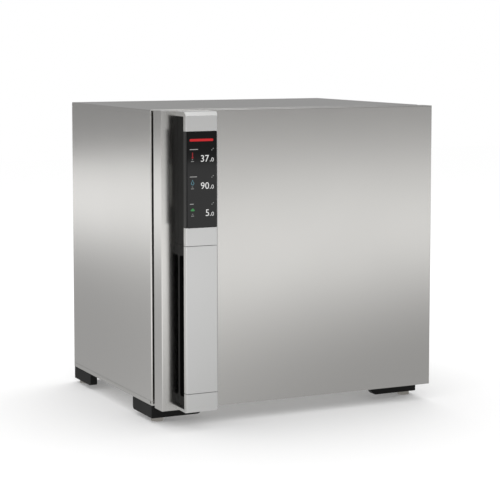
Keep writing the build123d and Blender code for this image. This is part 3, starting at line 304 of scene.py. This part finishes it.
def build_moulding_group():
    """Surface of moulded plastic or rubber: a fine pebble with slow changes of gloss."""
    tree, entry, leave = new_group(
        "moulded_pebble",
        [("Place", "NodeSocketVector", None), ("Pebble", "NodeSocketFloat", 900.0),
         ("Colour", "NodeSocketColor", (0.5, 0.5, 0.5, 1.0)), ("Tone", "NodeSocketFloat", 0.05),
         ("Roughness", "NodeSocketFloat", 0.5), ("Spread", "NodeSocketFloat", 0.08)],
        [("Colour", "NodeSocketColor"), ("Roughness", "NodeSocketFloat"), ("Height", "NodeSocketFloat")])
    pebble = group_node(tree, "ShaderNodeTexVoronoi", (-300, 100))
    tree.links.new(entry.outputs["Place"], pebble.inputs["Vector"])
    tree.links.new(entry.outputs["Pebble"], pebble.inputs["Scale"])
    cloud = group_node(tree, "ShaderNodeTexNoise", (-300, -200))
    cloud.inputs["Scale"].default_value = 14.0
    cloud.inputs["Detail"].default_value = 4.0
    tree.links.new(entry.outputs["Place"], cloud.inputs["Vector"])
    drift = math_step(tree, "SUBTRACT", cloud.outputs["Fac"], 0.5, (-100, -200))
    shade = math_step(tree, "MULTIPLY", drift, entry.outputs["Tone"], (60, 100))
    factor = math_step(tree, "ADD", shade, 1.0, (220, 100))
    colour = group_node(tree, "ShaderNodeVectorMath", (400, 200), operation="SCALE")
    tree.links.new(entry.outputs["Colour"], colour.inputs[0])
    tree.links.new(factor, colour.inputs["Scale"])
    tree.links.new(colour.outputs[0], leave.inputs["Colour"])
    uneven = math_step(tree, "MULTIPLY", drift, entry.outputs["Spread"], (220, -200))
    rough = math_step(tree, "ADD", uneven, entry.outputs["Roughness"], (400, -200))
    tree.links.new(rough, leave.inputs["Roughness"])
    tree.links.new(pebble.outputs["Distance"], leave.inputs["Height"])
    return tree


GROUPS = {}


def shared_group(name):
    builders = {"rolled_grain": build_grain_group, "moulded_pebble": build_moulding_group}
    if name not in GROUPS:
        GROUPS[name] = builders[name]()
    return GROUPS[name]


def metal_finish(name, colour, roughness, grain, tone=0.06, spread=0.06, bump=0.05, depth=0.00003):
    """Stainless, aluminium or brass; grain is the number of grains per metre along x, y and z."""
    finish = Finish(name)
    grained = finish.group(
        shared_group("rolled_grain"), Grain=grain, Colour=(*colour, 1.0), Tone=tone,
        Roughness=roughness, Spread=spread)
    finish.plain(Metallic=1.0)
    finish.link(grained.outputs["Colour"], finish.shader.inputs["Base Color"])
    finish.link(grained.outputs["Roughness"], finish.shader.inputs["Roughness"])
    finish.bump(grained.outputs["Height"], bump, depth)
    return finish.material


def moulded_finish(
        name, colour, roughness, pebble=900.0, tone=0.08, spread=0.1, bump=0.1, depth=0.00005, sheen=0.5):
    """Moulded plastic, rubber or foam with a fine pebble; sheen is its specular level."""
    finish = Finish(name)
    finish.plain(Specular_IOR_Level=sheen)
    pebbled = finish.group(
        shared_group("moulded_pebble"), Pebble=pebble, Colour=(*colour, 1.0), Tone=tone,
        Roughness=roughness, Spread=spread)
    finish.link(pebbled.outputs["Colour"], finish.shader.inputs["Base Color"])
    finish.link(pebbled.outputs["Roughness"], finish.shader.inputs["Roughness"])
    finish.bump(pebbled.outputs["Height"], bump, depth)
    return finish.material


def glass_finish(name, tint, roughness, ior=1.5):
    finish = Finish(name)
    finish.plain(Metallic=0.0, Transmission_Weight=1.0, IOR=ior, Base_Color=tint)
    smudge = finish.group(
        shared_group("moulded_pebble"), Pebble=40.0, Colour=(*tint, 1.0), Tone=0.0,
        Roughness=roughness, Spread=roughness)
    finish.link(smudge.outputs["Roughness"], finish.shader.inputs["Roughness"])
    return finish.material


def glow_finish(name, colour, strength):
    """A lit mark of the screen, its glow changing a little from place to place."""
    finish = Finish(name)
    lit = finish.group(
        shared_group("moulded_pebble"), Pebble=4000.0, Colour=(*colour, 1.0), Tone=0.12,
        Roughness=0.4, Spread=0.1)
    finish.plain(Base_Color=(0.0, 0.0, 0.0), Emission_Strength=strength)
    finish.link(lit.outputs["Colour"], finish.shader.inputs["Emission Color"])
    finish.link(lit.outputs["Roughness"], finish.shader.inputs["Roughness"])
    return finish.material


def dress(material, *names):
    for name in names:
        mesh = NODES[name].data
        mesh.materials.clear()
        mesh.materials.append(material)


# Small tools for meshes

def mesh_piece(name, shape, material, body):
    mesh = bpy.data.meshes.new(name)
    shape.to_mesh(mesh)
    shape.free()
    mesh.materials.append(material)
    piece = bpy.data.objects.new(name, mesh)
    bpy.context.collection.objects.link(piece)
    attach(piece, body)
    return piece


def rounded_loop(half_width, half_height, radius, steps=6):
    """Points of a rectangle with rounded corners round the origin, anticlockwise."""
    points = []
    corners = (
        (half_width - radius, half_height - radius, 0),
        (radius - half_width, half_height - radius, 90),
        (radius - half_width, radius - half_height, 180),
        (half_width - radius, radius - half_height, 270))
    for across, up, start in corners:
        for step in range(steps + 1):
            angle = math.radians(start + 90 * step / steps)
            points.append((across + radius * math.cos(angle), up + radius * math.sin(angle)))
    return points


def add_prism(shape, outline, centre, front, back, bevel=0.0):
    """A plate in the door's plane: an outline in x and z, extruded along y, with a chamfered front edge."""
    across = sum(point[0] for point in outline) / len(outline)
    up = sum(point[1] for point in outline) / len(outline)

    def ring(depth, inset):
        loop = []
        for x, z in outline:
            away = Vector((x - across, z - up))
            if inset:
                away -= Vector((math.copysign(inset, away.x), math.copysign(inset, away.y)))
            loop.append(shape.verts.new((centre[0] + across + away.x, depth, centre[1] + up + away.y)))
        return loop

    rings = [ring(back, 0.0)]
    if bevel:
        rings.append(ring(front + bevel, 0.0))
    rings.append(ring(front, bevel))
    for first, second in zip(rings, rings[1:]):
        for index, corner in enumerate(first):
            after = (index + 1) % len(first)
            shape.faces.new((corner, first[after], second[after], second[index]))
    shape.faces.new(rings[-1])
    shape.faces.new(reversed(rings[0]))


def text_outline_piece(name, text, height, base, depth, material):
    """Figures in Blender's own plain typeface as a thin solid on the face of the glass."""
    curve = bpy.data.curves.new(name, "FONT")
    curve.body = text
    curve.size = height / FIGURE_SHARE
    curve.extrude = MARK_THICKNESS / 2
    curve.resolution_u = 4
    source = bpy.data.objects.new(name + "_source", curve)
    bpy.context.collection.objects.link(source)
    mesh = bpy.data.meshes.new_from_object(source)
    bpy.data.objects.remove(source)
    bpy.data.curves.remove(curve)
    for vertex in mesh.vertices:
        x, z, thickness = vertex.co
        vertex.co = (x, depth - thickness, base + z)
    mesh.materials.clear()
    mesh.materials.append(material)
    piece = bpy.data.objects.new(name, mesh)
    bpy.context.collection.objects.link(piece)
    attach(piece, DOOR_BODY)
    return piece


def evenly(first, last, count):
    return [first + (last - first) * step / (count - 1) for step in range(count)]


def add_screw(shape, seat, facing, head):
    """A screw head with a hexagonal socket, standing on a face whose normal is along y."""
    radius, height, socket, depth = head

    def ring(reach, rise, hexagonal=False):
        loop = []
        for step in range(SCREW_STEPS):
            angle = 2 * math.pi * step / SCREW_STEPS
            away = reach
            if hexagonal:
                flat = angle % (math.pi / 3) - math.pi / 6
                away = reach * math.cos(math.pi / 6) / math.cos(flat)
            loop.append(shape.verts.new(
                seat + Vector((away * math.cos(angle), facing * rise, away * math.sin(angle)))))
        return loop

    rings = [
        ring(radius, 0.0), ring(radius, 0.35 * height), ring(0.82 * radius, 0.85 * height),
        ring(0.6 * radius, height), ring(socket, height, True), ring(socket, height - depth, True)]
    for first, second in zip(rings, rings[1:]):
        for index, corner in enumerate(first):
            after = (index + 1) % SCREW_STEPS
            shape.faces.new((corner, first[after], second[after], second[index]))
    shape.faces.new(rings[-1])
    shape.faces.new(reversed(rings[0]))
    bmesh.ops.recalc_face_normals(shape, faces=shape.faces)


def edge_x(piece, pick):
    return pick(vertex.co.x for vertex in piece.data.vertices)


def slide_x(piece, distance):
    for vertex in piece.data.vertices:
        vertex.co.x += distance


def shift_right_edge(piece, place):
    slide_x(piece, place - edge_x(piece, max))


def fit_width(piece, span):
    """Stretches a figure so that it reaches from one place to the other along x."""
    low, high = edge_x(piece, min), edge_x(piece, max)
    for vertex in piece.data.vertices:
        share = (vertex.co.x - low) / (high - low)
        vertex.co.x = span[0] + share * (span[1] - span[0])


def scaled(outlines):
    """Outlines given in millimetres, in metres."""
    return [[(x * MM, z * MM) for x, z in outline] for outline in outlines]


def circle_points(x, z, radius, start=0.0, end=360.0, steps=16):
    closed = end - start >= 360.0
    count = steps if closed else steps + 1
    return [
        (x + radius * math.cos(math.radians(start + (end - start) * step / steps)),
         z + radius * math.sin(math.radians(start + (end - start) * step / steps)))
        for step in range(count)]


def thermometer_outlines():
    """A bulb with its tube, as one outline about the sign's centre, in millimetres."""
    bulb = circle_points(0.0, -4.6, 2.3, 122.0, 418.0, 18)
    tube = circle_points(0.0, 5.6, 1.2, 0.0, 180.0, 8)
    return [bulb + tube]


def droplet_outlines():
    """A drop drawn as a closed line: a ring of short quads between two outlines."""
    def side(growth):
        belly = circle_points(0.0, -1.6, 3.0 + growth, 160.0, 380.0, 20)
        return belly + [(0.0, 6.0 + 1.6 * growth)]
    outer = side(0.45)
    inner = side(-0.45)
    count = len(outer)
    return [
        [outer[step], outer[(step + 1) % count], inner[(step + 1) % count], inner[step]]
        for step in range(count)]


def cloud_outlines():
    """Three overlapping puffs on a flat base."""
    left = circle_points(-2.9, -0.4, 2.0, 90.0, 270.0, 8)
    right = circle_points(3.0, -0.6, 1.8, -90.0, 80.0, 8)
    crown = circle_points(0.2, 0.8, 2.9, 20.0, 160.0, 10)
    return [left + right + crown]


def arrow_outlines():
    """Two arrow heads on a diagonal, pointing apart."""
    heads = []
    for sign in (1, -1):
        heads.append([
            (sign * 2.6, sign * 2.6), (sign * 0.6, sign * 2.6), (sign * 1.25, sign * 1.95),
            (sign * 0.35, sign * 1.05), (sign * 1.05, sign * 0.35), (sign * 1.95, sign * 1.25),
            (sign * 2.6, sign * 0.6)])
    return heads


# Operators

class INCUBATOR_OT_shell(bpy.types.Operator):
    """Gives the outer sheet-metal shell its rolled stainless finish"""

    bl_idname = "incubator.shell"
    bl_label = "Shell finish"

    def execute(self, context):
        finishes = context.scene.incubator_finishes
        grains = 1 / finishes.shell_grain
        shell = metal_finish(
            "shell_stainless", tuple(finishes.shell_colour), finishes.shell_roughness,
            (grains, grains, grains * 0.6), tone=0.10, spread=0.05, bump=0.06)
        dress(shell, "top_cover", "side_panel_left", "side_panel_right", "base_pan", "door_skin",
              "front_frame", "rear_panel")
        return {"FINISHED"}


class INCUBATOR_OT_handle(bpy.types.Operator):
    """Gives the handle and display bar its satin silver and black mouldings"""

    bl_idname = "incubator.handle"
    bl_label = "Handle bar finish"

    def execute(self, context):
        finishes = context.scene.incubator_finishes
        silver = metal_finish(
            "handle_silver", tuple(finishes.silver_colour), 0.36, (1500.0, 1500.0, 1500.0),
            tone=0.05, spread=0.05, bump=0.04)
        black = moulded_finish("bar_black", tuple(finishes.black_colour), 0.42, sheen=0.12)
        grey = moulded_finish("trim_grey", (0.30, 0.30, 0.29), 0.4)
        dress(silver, "handle_plate", "handle_end_cap")
        dress(self.bordered(silver), "display_bezel")
        dress(black, "display_body", "grip_body")
        dress(grey, "port_cover")
        return {"FINISHED"}

    def bordered(self, silver):
        """The silver with a black print beside the glass, from the bar's left edge to the glass."""
        material = silver.copy()
        material.name = "bezel_silver_printed"
        tree = material.node_tree
        shader = tree.nodes["Principled BSDF"]
        to_local = NODES["display_bezel"].matrix_world.inverted()
        low = to_local @ WINDOW_LOW
        high = to_local @ WINDOW_HIGH
        place = tree.nodes.new("ShaderNodeTexCoord")
        split = tree.nodes.new("ShaderNodeSeparateXYZ")
        tree.links.new(place.outputs["Object"], split.inputs[0])
        beside = math_step(tree, "LESS_THAN", split.outputs["X"], low.x, (-500, -400))
        above = math_step(tree, "GREATER_THAN", split.outputs["Z"], low.z, (-500, -500))
        below = math_step(tree, "LESS_THAN", split.outputs["Z"], high.z, (-500, -600))
        level = math_step(tree, "MULTIPLY", above, below, (-350, -500))
        printed = math_step(tree, "MULTIPLY", beside, level, (-200, -400))
        metal = math_step(tree, "SUBTRACT", 1.0, printed, (-50, -400))
        tree.links.new(metal, shader.inputs["Metallic"])
        colour = tree.nodes.new("ShaderNodeMix")
        colour.data_type = "RGBA"
        source = shader.inputs["Base Color"].links[0].from_socket
        tree.links.new(printed, colour.inputs["Factor"])
        tree.links.new(source, colour.inputs[6])
        colour.inputs[7].default_value = PRINT_COLOUR
        tree.links.new(colour.outputs[2], shader.inputs["Base Color"])
        return material


class INCUBATOR_OT_feet(bpy.types.Operator):
    """Gives the corner blocks their black moulding and the levelling feet their turned steel"""

    bl_idname = "incubator.feet"
    bl_label = "Feet finish"

    def execute(self, context):
        black = moulded_finish("foot_black", (0.008, 0.008, 0.0075), 0.5, pebble=700.0, sheen=0.2)
        steel = metal_finish(
            "foot_steel", (0.42, 0.40, 0.37), 0.34, (300.0, 300.0, 3000.0), tone=0.2, spread=0.1)
        sides = [f"{depth}_{side}" for depth in ("front", "rear") for side in ("left", "right")]
        dress(black, *(f"foot_block_{side}" for side in sides))
        dress(steel, *(f"leveling_foot_{side}" for side in sides))
        return {"FINISHED"}


class INCUBATOR_OT_door(bpy.types.Operator):
    """Finishes the door's lining, seals, hinges and the inner glass door"""

    bl_idname = "incubator.door"
    bl_label = "Door and hinge finish"

    def execute(self, context):
        liner = moulded_finish("liner_plastic", (0.62, 0.62, 0.61), 0.42, tone=0.04)
        foam = moulded_finish("insulating_foam", (0.72, 0.64, 0.40), 0.9, pebble=260.0, tone=0.25, bump=0.5)
        rubber = moulded_finish("seal_rubber", (0.016, 0.016, 0.016), 0.62, pebble=1200.0)
        silicone = moulded_finish("silicone_seal", (0.55, 0.55, 0.53), 0.55, pebble=1500.0)
        hinge = metal_finish(
            "hinge_steel", (0.55, 0.55, 0.54), 0.3, (2400.0, 2400.0, 240.0), tone=0.12)
        glass = glass_finish("pane_glass", (0.93, 0.97, 0.95), 0.01)
        dress(liner, "door_liner")
        dress(foam, "door_insulation", "cabinet_insulation")
        dress(rubber, "door_gasket")
        dress(silicone, "chamber_gasket", "access_port_plug")
        dress(hinge, "door_hinge_leaves", "hinge_brackets", "hinge_pins", "glass_hinge_leaves",
              "glass_hinge_mounts", "glass_hinge_pins", "glass_latch", "latch_keeper")
        dress(glass, "glass_pane")
        return {"FINISHED"}


class INCUBATOR_OT_chamber(bpy.types.Operator):
    """Finishes the stainless chamber, its shelves, tray, fan and sensors"""

    bl_idname = "incubator.chamber"
    bl_label = "Chamber finish"

    def execute(self, context):
        polished = metal_finish(
            "chamber_stainless", (0.60, 0.60, 0.59), 0.24, (1800.0, 160.0, 1800.0), tone=0.08, bump=0.04)
        foil = metal_finish(
            "heater_foil", (0.66, 0.66, 0.67), 0.4, (120.0, 120.0, 120.0), tone=0.12, bump=0.6)
        white = moulded_finish("white_plastic", (0.70, 0.70, 0.68), 0.45)
        black = moulded_finish("fitting_black", (0.02, 0.02, 0.02), 0.5)
        motor = moulded_finish("motor_paint", (0.10, 0.10, 0.105), 0.4, pebble=500.0)
        dress(polished, "inner_chamber", "shelf_rails", "shelf_lower", "shelf_middle", "shelf_upper",
              "water_tray", "fan_cover", "fan_shaft", "temperature_probe")
        dress(foil, "chamber_heater")
        dress(white, "fan_impeller", "access_port_sleeve", "gas_filter")
        dress(black, "co2_sensor", "power_inlet", "network_port")
        dress(motor, "fan_motor")
        return {"FINISHED"}


class INCUBATOR_OT_services(bpy.types.Operator):
    """Finishes the gas line, boards and power supply behind the rear panel"""

    bl_idname = "incubator.services"
    bl_label = "Service parts finish"

    def execute(self, context):
        brass = metal_finish("gas_brass", (0.72, 0.52, 0.24), 0.28, (900.0, 900.0, 900.0), tone=0.1)
        tube = moulded_finish("silicone_tube", (0.66, 0.66, 0.62), 0.4, pebble=2000.0)
        board = moulded_finish("circuit_green", (0.015, 0.10, 0.045), 0.45, pebble=300.0)
        case = metal_finish("supply_case", (0.55, 0.56, 0.57), 0.35, (600.0, 600.0, 600.0), tone=0.12)
        dress(brass, "co2_inlet_fitting", "gas_valve")
        dress(tube, "gas_tubes")
        dress(board, "control_board")
        dress(case, "power_supply")
        return {"FINISHED"}


class INCUBATOR_OT_fasteners(bpy.types.Operator):
    """Adds the screws of the rear panel and the hinges"""

    bl_idname = "incubator.fasteners"
    bl_label = "Screws"

    def execute(self, context):
        steel = metal_finish("screw_steel", (0.58, 0.57, 0.55), 0.28, (1400.0, 1400.0, 1400.0), tone=0.12)
        self.screw_rear_panel(steel)
        self.screw_hinges(steel)
        return {"FINISHED"}

    def screw_rear_panel(self, steel):
        """Button heads all round the panel's edge."""
        low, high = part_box("rear_panel")
        sides = (low.x + PANEL_SCREW_INSET, high.x - PANEL_SCREW_INSET)
        ends = (low.z + PANEL_SCREW_INSET, high.z - PANEL_SCREW_INSET)
        middle = (low.x + high.x) / 2
        places = [(x, z) for x in sides for z in evenly(*ends, PANEL_SCREW_ROWS)]
        places += [(middle, z) for z in ends]
        shape = bmesh.new()
        for x, z in places:
            add_screw(shape, Vector((x, high.y, z)), 1, BUTTON_HEAD)
        mesh_piece("rear_panel_screws", shape, steel, CABINET_BODY)

    def screw_hinges(self, steel):
        """Flat heads on the faces of the hinge leaves, which show once the door is open."""
        for name, leaves, body, side in (
                ("bracket_screws", "hinge_brackets", CABINET_BODY, -1),
                ("leaf_screws", "door_hinge_leaves", DOOR_BODY, 1)):
            low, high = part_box(leaves)
            face = high.y - LEAF_THICKNESS if side < 0 else low.y + LEAF_THICKNESS
            shape = bmesh.new()
            for centre in (low.z + LEAF_HEIGHT / 2, high.z - LEAF_HEIGHT / 2):
                for lift in (-LEAF_SCREW_SPREAD, LEAF_SCREW_SPREAD):
                    add_screw(shape, Vector((low.x + LEAF_SCREW_INSET, face, centre + lift)), side, FLAT_HEAD)
            mesh_piece(name, shape, steel, body)


class INCUBATOR_OT_display(bpy.types.Operator):
    """Builds the cover glass of the display and the lit readings on its face"""

    bl_idname = "incubator.display"
    bl_label = "Display"

    def execute(self, context):
        settings = context.scene.incubator_display
        screen = moulded_finish("screen_black", (0.004, 0.004, 0.004), 0.25, pebble=3000.0, bump=0.0)
        dress(screen, "display_panel")
        self.build_cover()
        self.draw_readings(settings)
        return {"FINISHED"}

    def build_cover(self):
        """One sheet of dark glass with a ground edge, in place of the plain CAD slab."""
        cover = bmesh.new()
        outline = rounded_loop(WINDOW_WIDTH / 2, WINDOW_HEIGHT / 2, COVER_CORNER)
        centre = (WINDOW_CENTRE.x, WINDOW_CENTRE.z)
        add_prism(cover, outline, centre, WINDOW_LOW.y, WINDOW_HIGH.y, COVER_BEVEL)
        glass = moulded_finish(
            "display_dark_glass", (0.001, 0.001, 0.001), 0.05, pebble=60.0, tone=0.3, spread=0.02, bump=0.0,
            sheen=0.4)
        piece = mesh_piece("display_cover_glass", cover, glass, DOOR_BODY)
        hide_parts("display_glass")

    def draw_readings(self, settings):
        """Labels, signs and figures of the three readings, in rows down the glass."""
        white = glow_finish("reading_white", (0.86, 0.86, 0.85), settings.brightness)
        dim = glow_finish("label_grey", (0.62, 0.62, 0.61), settings.brightness * 0.6)
        red = glow_finish("bar_red", (0.62, 0.01, 0.015), settings.brightness)
        dark_red = glow_finish("sign_red", (0.30, 0.008, 0.012), settings.brightness)
        blue = glow_finish("sign_blue", (0.20, 0.50, 0.62), settings.brightness * 0.7)
        green = glow_finish("sign_green", (0.05, 0.28, 0.08), settings.brightness)
        face = WINDOW_LOW.y
        self.add_bar("status_bar", STATUS_SPAN_X, STATUS_SPAN_Z, red)
        rows = (
            ("temperature", settings.temperature, LABEL_LENGTHS[0], dark_red, thermometer_outlines()),
            ("humidity", settings.humidity, LABEL_LENGTHS[1], blue, droplet_outlines()),
            ("gas_share", settings.gas_share, LABEL_LENGTHS[2], green, cloud_outlines()))
        for index, (name, value, label_length, colour, outlines) in enumerate(rows):
            whole, tenth = f"{value:.1f}".split(".")
            base = TOP_ROW_BASE - index * ROW_PITCH
            label_x = (STATUS_SPAN_X[0], STATUS_SPAN_X[0] + label_length)
            label_z = (base + LABEL_LIFT, base + LABEL_LIFT + LABEL_THICKNESS)
            self.add_bar(f"{name}_label", label_x, label_z, dim)
            figures = text_outline_piece(f"{name}_figures", whole, READING_HEIGHT, base, face, white)
            shift_right_edge(figures, READING_RIGHT)
            tenths = text_outline_piece(f"{name}_tenths", tenth, TENTHS_HEIGHT, base, face, white)
            fit_width(tenths, TENTHS_SPAN)
            point = circle_points(0.0, POINT_RADIUS, POINT_RADIUS)
            self.add_sign(f"{name}_point", [point], (POINT_X, base), white)
            self.add_sign(f"{name}_sign", scaled(outlines), (SIGN_X, base + SIGN_LIFT), colour)
            arrows_place = (ARROWS_X, base + ARROWS_LIFT)
            self.add_sign(f"{name}_expand_arrows", scaled(arrow_outlines()), arrows_place, dim)
            for level, (x_span, rise) in zip(("upper", "lower"), STATE_BARS):
                self.add_bar(f"{name}_state_{level}", x_span, (base + rise[0], base + rise[1]), dim)

    def add_sign(self, name, outlines, centre, material):
        """Flat lit outlines on the face of the glass."""
        shape = bmesh.new()
        for outline in outlines:
            add_prism(shape, outline, centre, WINDOW_LOW.y - MARK_THICKNESS, WINDOW_LOW.y)
        return mesh_piece(name, shape, material, DOOR_BODY)

    def add_bar(self, name, x_span, z_span, material):
        """A thin lit bar with rounded ends."""
        half_width = (x_span[1] - x_span[0]) / 2
        half_height = (z_span[1] - z_span[0]) / 2
        outline = rounded_loop(half_width, half_height, min(half_width, half_height) * 0.7, 4)
        centre = ((x_span[0] + x_span[1]) / 2, (z_span[0] + z_span[1]) / 2)
        return self.add_sign(name, [outline], centre, material)


class INCUBATOR_OT_stage(bpy.types.Operator):
    """Sets the studio: floor, soft lights, background and camera"""

    bl_idname = "incubator.stage"
    bl_label = "Studio"

    def execute(self, context):
        settings = context.scene.incubator_stage
        self.build_floor(settings)
        self.build_world(context, settings)
        self.build_lights(settings)
        self.build_camera(context)
        context.scene.view_settings.view_transform = "Standard"
        return {"FINISHED"}

    def build_floor(self, settings):
        shape = bmesh.new()
        bmesh.ops.create_grid(shape, x_segments=16, y_segments=16, size=settings.floor_size / 2)
        mesh = bpy.data.meshes.new("studio_floor")
        shape.to_mesh(mesh)
        shape.free()
        floor = bpy.data.objects.new("studio_floor", mesh)
        bpy.context.collection.objects.link(floor)
        finish = Finish("studio_paper")
        tree = finish.tree
        finish.plain(Roughness=0.9, Specular_IOR_Level=0.0, Emission_Color=(1.0, 1.0, 1.0))
        path = finish.node("ShaderNodeLightPath")
        straight = math_step(
            tree, "MAXIMUM", path.outputs["Is Camera Ray"], path.outputs["Is Transmission Ray"], (-500, -300))
        lift = math_step(tree, "MULTIPLY", straight, FLOOR_LIFT, (-300, -300))
        # Painted light and shade seen only in reflections: an emitted pool, darker within POOL_RADIUS of
        # POOL_CENTRE and brighter beyond, stands in for the studio's light falling off.
        away = finish.node("ShaderNodeVectorMath", operation="DISTANCE")
        finish.link(finish.place(), away.inputs[0])
        away.inputs[1].default_value = POOL_CENTRE
        glow = finish.node("ShaderNodeMapRange", interpolation_type="SMOOTHSTEP")
        edges = (
            ("From Min", POOL_RADIUS - POOL_FADE), ("From Max", POOL_RADIUS + POOL_FADE),
            ("To Min", settings.floor_painted_shade), ("To Max", settings.floor_painted_light))
        for label, value in edges:
            glow.inputs[label].default_value = value
        finish.link(away.outputs["Value"], glow.inputs["Value"])
        painted_reflection = math_step(
            tree, "MULTIPLY", glow.outputs["Result"], path.outputs["Is Glossy Ray"], (-300, -500))
        strength = math_step(tree, "ADD", lift, painted_reflection, (-100, -300))
        finish.link(strength, finish.shader.inputs["Emission Strength"])
        # Glossy rays see the floor's own colour as black, so they see only the painted pool.
        shade = finish.node("ShaderNodeMix", data_type="RGBA")
        tone = settings.floor_tone
        shade.inputs[6].default_value = (tone, tone, tone, 1.0)
        shade.inputs[7].default_value = (0.0, 0.0, 0.0, 1.0)
        finish.link(path.outputs["Is Glossy Ray"], shade.inputs[0])
        finish.link(shade.outputs[2], finish.shader.inputs["Base Color"])
        mesh.materials.append(finish.material)

    def build_world(self, context, settings):
        world = bpy.data.worlds.new("studio_world")
        context.scene.world = world
        world.use_nodes = True
        tree = world.node_tree
        sky = tree.nodes["Background"]
        path = tree.nodes.new("ShaderNodeLightPath")
        straight = math_step(
            tree, "MAXIMUM", path.outputs["Is Camera Ray"], path.outputs["Is Transmission Ray"], (-500, -300))
        white = math_step(tree, "MULTIPLY", straight, 1.0 - settings.ambient, (-300, -300))
        gap = settings.ceiling_tone - settings.ambient
        dim = math_step(tree, "MULTIPLY", path.outputs["Is Glossy Ray"], gap, (-300, -500))
        change = math_step(tree, "ADD", white, dim, (-100, -300))
        strength = math_step(tree, "ADD", change, settings.ambient, (100, -300))
        tree.links.new(strength, sky.inputs["Strength"])
        sky.inputs["Color"].default_value = (1.0, 1.0, 1.0, 1.0)

    def build_lights(self, settings):
        for name, place, aim, width, height, share in LAMPS:
            light = bpy.data.lights.new(name, "AREA")
            light.shape = "RECTANGLE"
            light.size = width
            light.size_y = height
            light.energy = settings.panel_power * share
            lamp = bpy.data.objects.new(name, light)
            lamp.location = place
            towards = Vector(aim) - Vector(place)
            lamp.rotation_euler = towards.to_track_quat("-Z", "Y").to_euler()
            bpy.context.collection.objects.link(lamp)

    def build_camera(self, context):
        optics = bpy.data.cameras.new("photo_camera")
        optics.lens = CAMERA_LENS
        optics.sensor_width = CAMERA_SENSOR
        optics.shift_x, optics.shift_y = CAMERA_SHIFT
        camera = bpy.data.objects.new("photo_camera", optics)
        camera.location = CAMERA_PLACE
        camera.rotation_euler = (math.radians(90 - CAMERA_TILT), 0.0, math.radians(CAMERA_TURN))
        bpy.context.collection.objects.link(camera)
        context.scene.camera = camera


class INCUBATOR_PT_sidebar(bpy.types.Panel):
    """The incubator's finishes and pieces"""

    bl_label = "Incubator"
    bl_idname = "INCUBATOR_PT_sidebar"
    bl_space_type = "VIEW_3D"
    bl_region_type = "UI"
    bl_category = "Incubator"

    def draw(self, context):
        layout = self.layout
        for settings in (context.scene.incubator_finishes, context.scene.incubator_display,
                         context.scene.incubator_stage):
            box = layout.box()
            for key in settings.__annotations__:
                box.prop(settings, key)
        for operator in OPERATORS:
            layout.operator(operator.bl_idname)


OPERATORS = (
    INCUBATOR_OT_shell, INCUBATOR_OT_handle, INCUBATOR_OT_feet, INCUBATOR_OT_door,
    INCUBATOR_OT_chamber, INCUBATOR_OT_services, INCUBATOR_OT_fasteners, INCUBATOR_OT_display,
    INCUBATOR_OT_stage)
SETTINGS = (IncubatorFinishes, IncubatorDisplay, IncubatorStage)


def register():
    for part in (*SETTINGS, *OPERATORS, INCUBATOR_PT_sidebar):
        bpy.utils.register_class(part)
    scene = bpy.types.Scene
    scene.incubator_finishes = bpy.props.PointerProperty(type=IncubatorFinishes)
    scene.incubator_display = bpy.props.PointerProperty(type=IncubatorDisplay)
    scene.incubator_stage = bpy.props.PointerProperty(type=IncubatorStage)


def unregister():
    scene = bpy.types.Scene
    del scene.incubator_finishes
    del scene.incubator_display
    del scene.incubator_stage
    for part in reversed((*SETTINGS, *OPERATORS, INCUBATOR_PT_sidebar)):
        bpy.utils.unregister_class(part)


def main():
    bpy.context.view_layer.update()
    register()
    bpy.ops.incubator.shell()
    bpy.ops.incubator.handle()
    bpy.ops.incubator.feet()
    bpy.ops.incubator.door()
    bpy.ops.incubator.chamber()
    bpy.ops.incubator.services()
    bpy.ops.incubator.fasteners()
    bpy.ops.incubator.display()
    bpy.ops.incubator.stage()


if __name__ == "__main__":
    main()
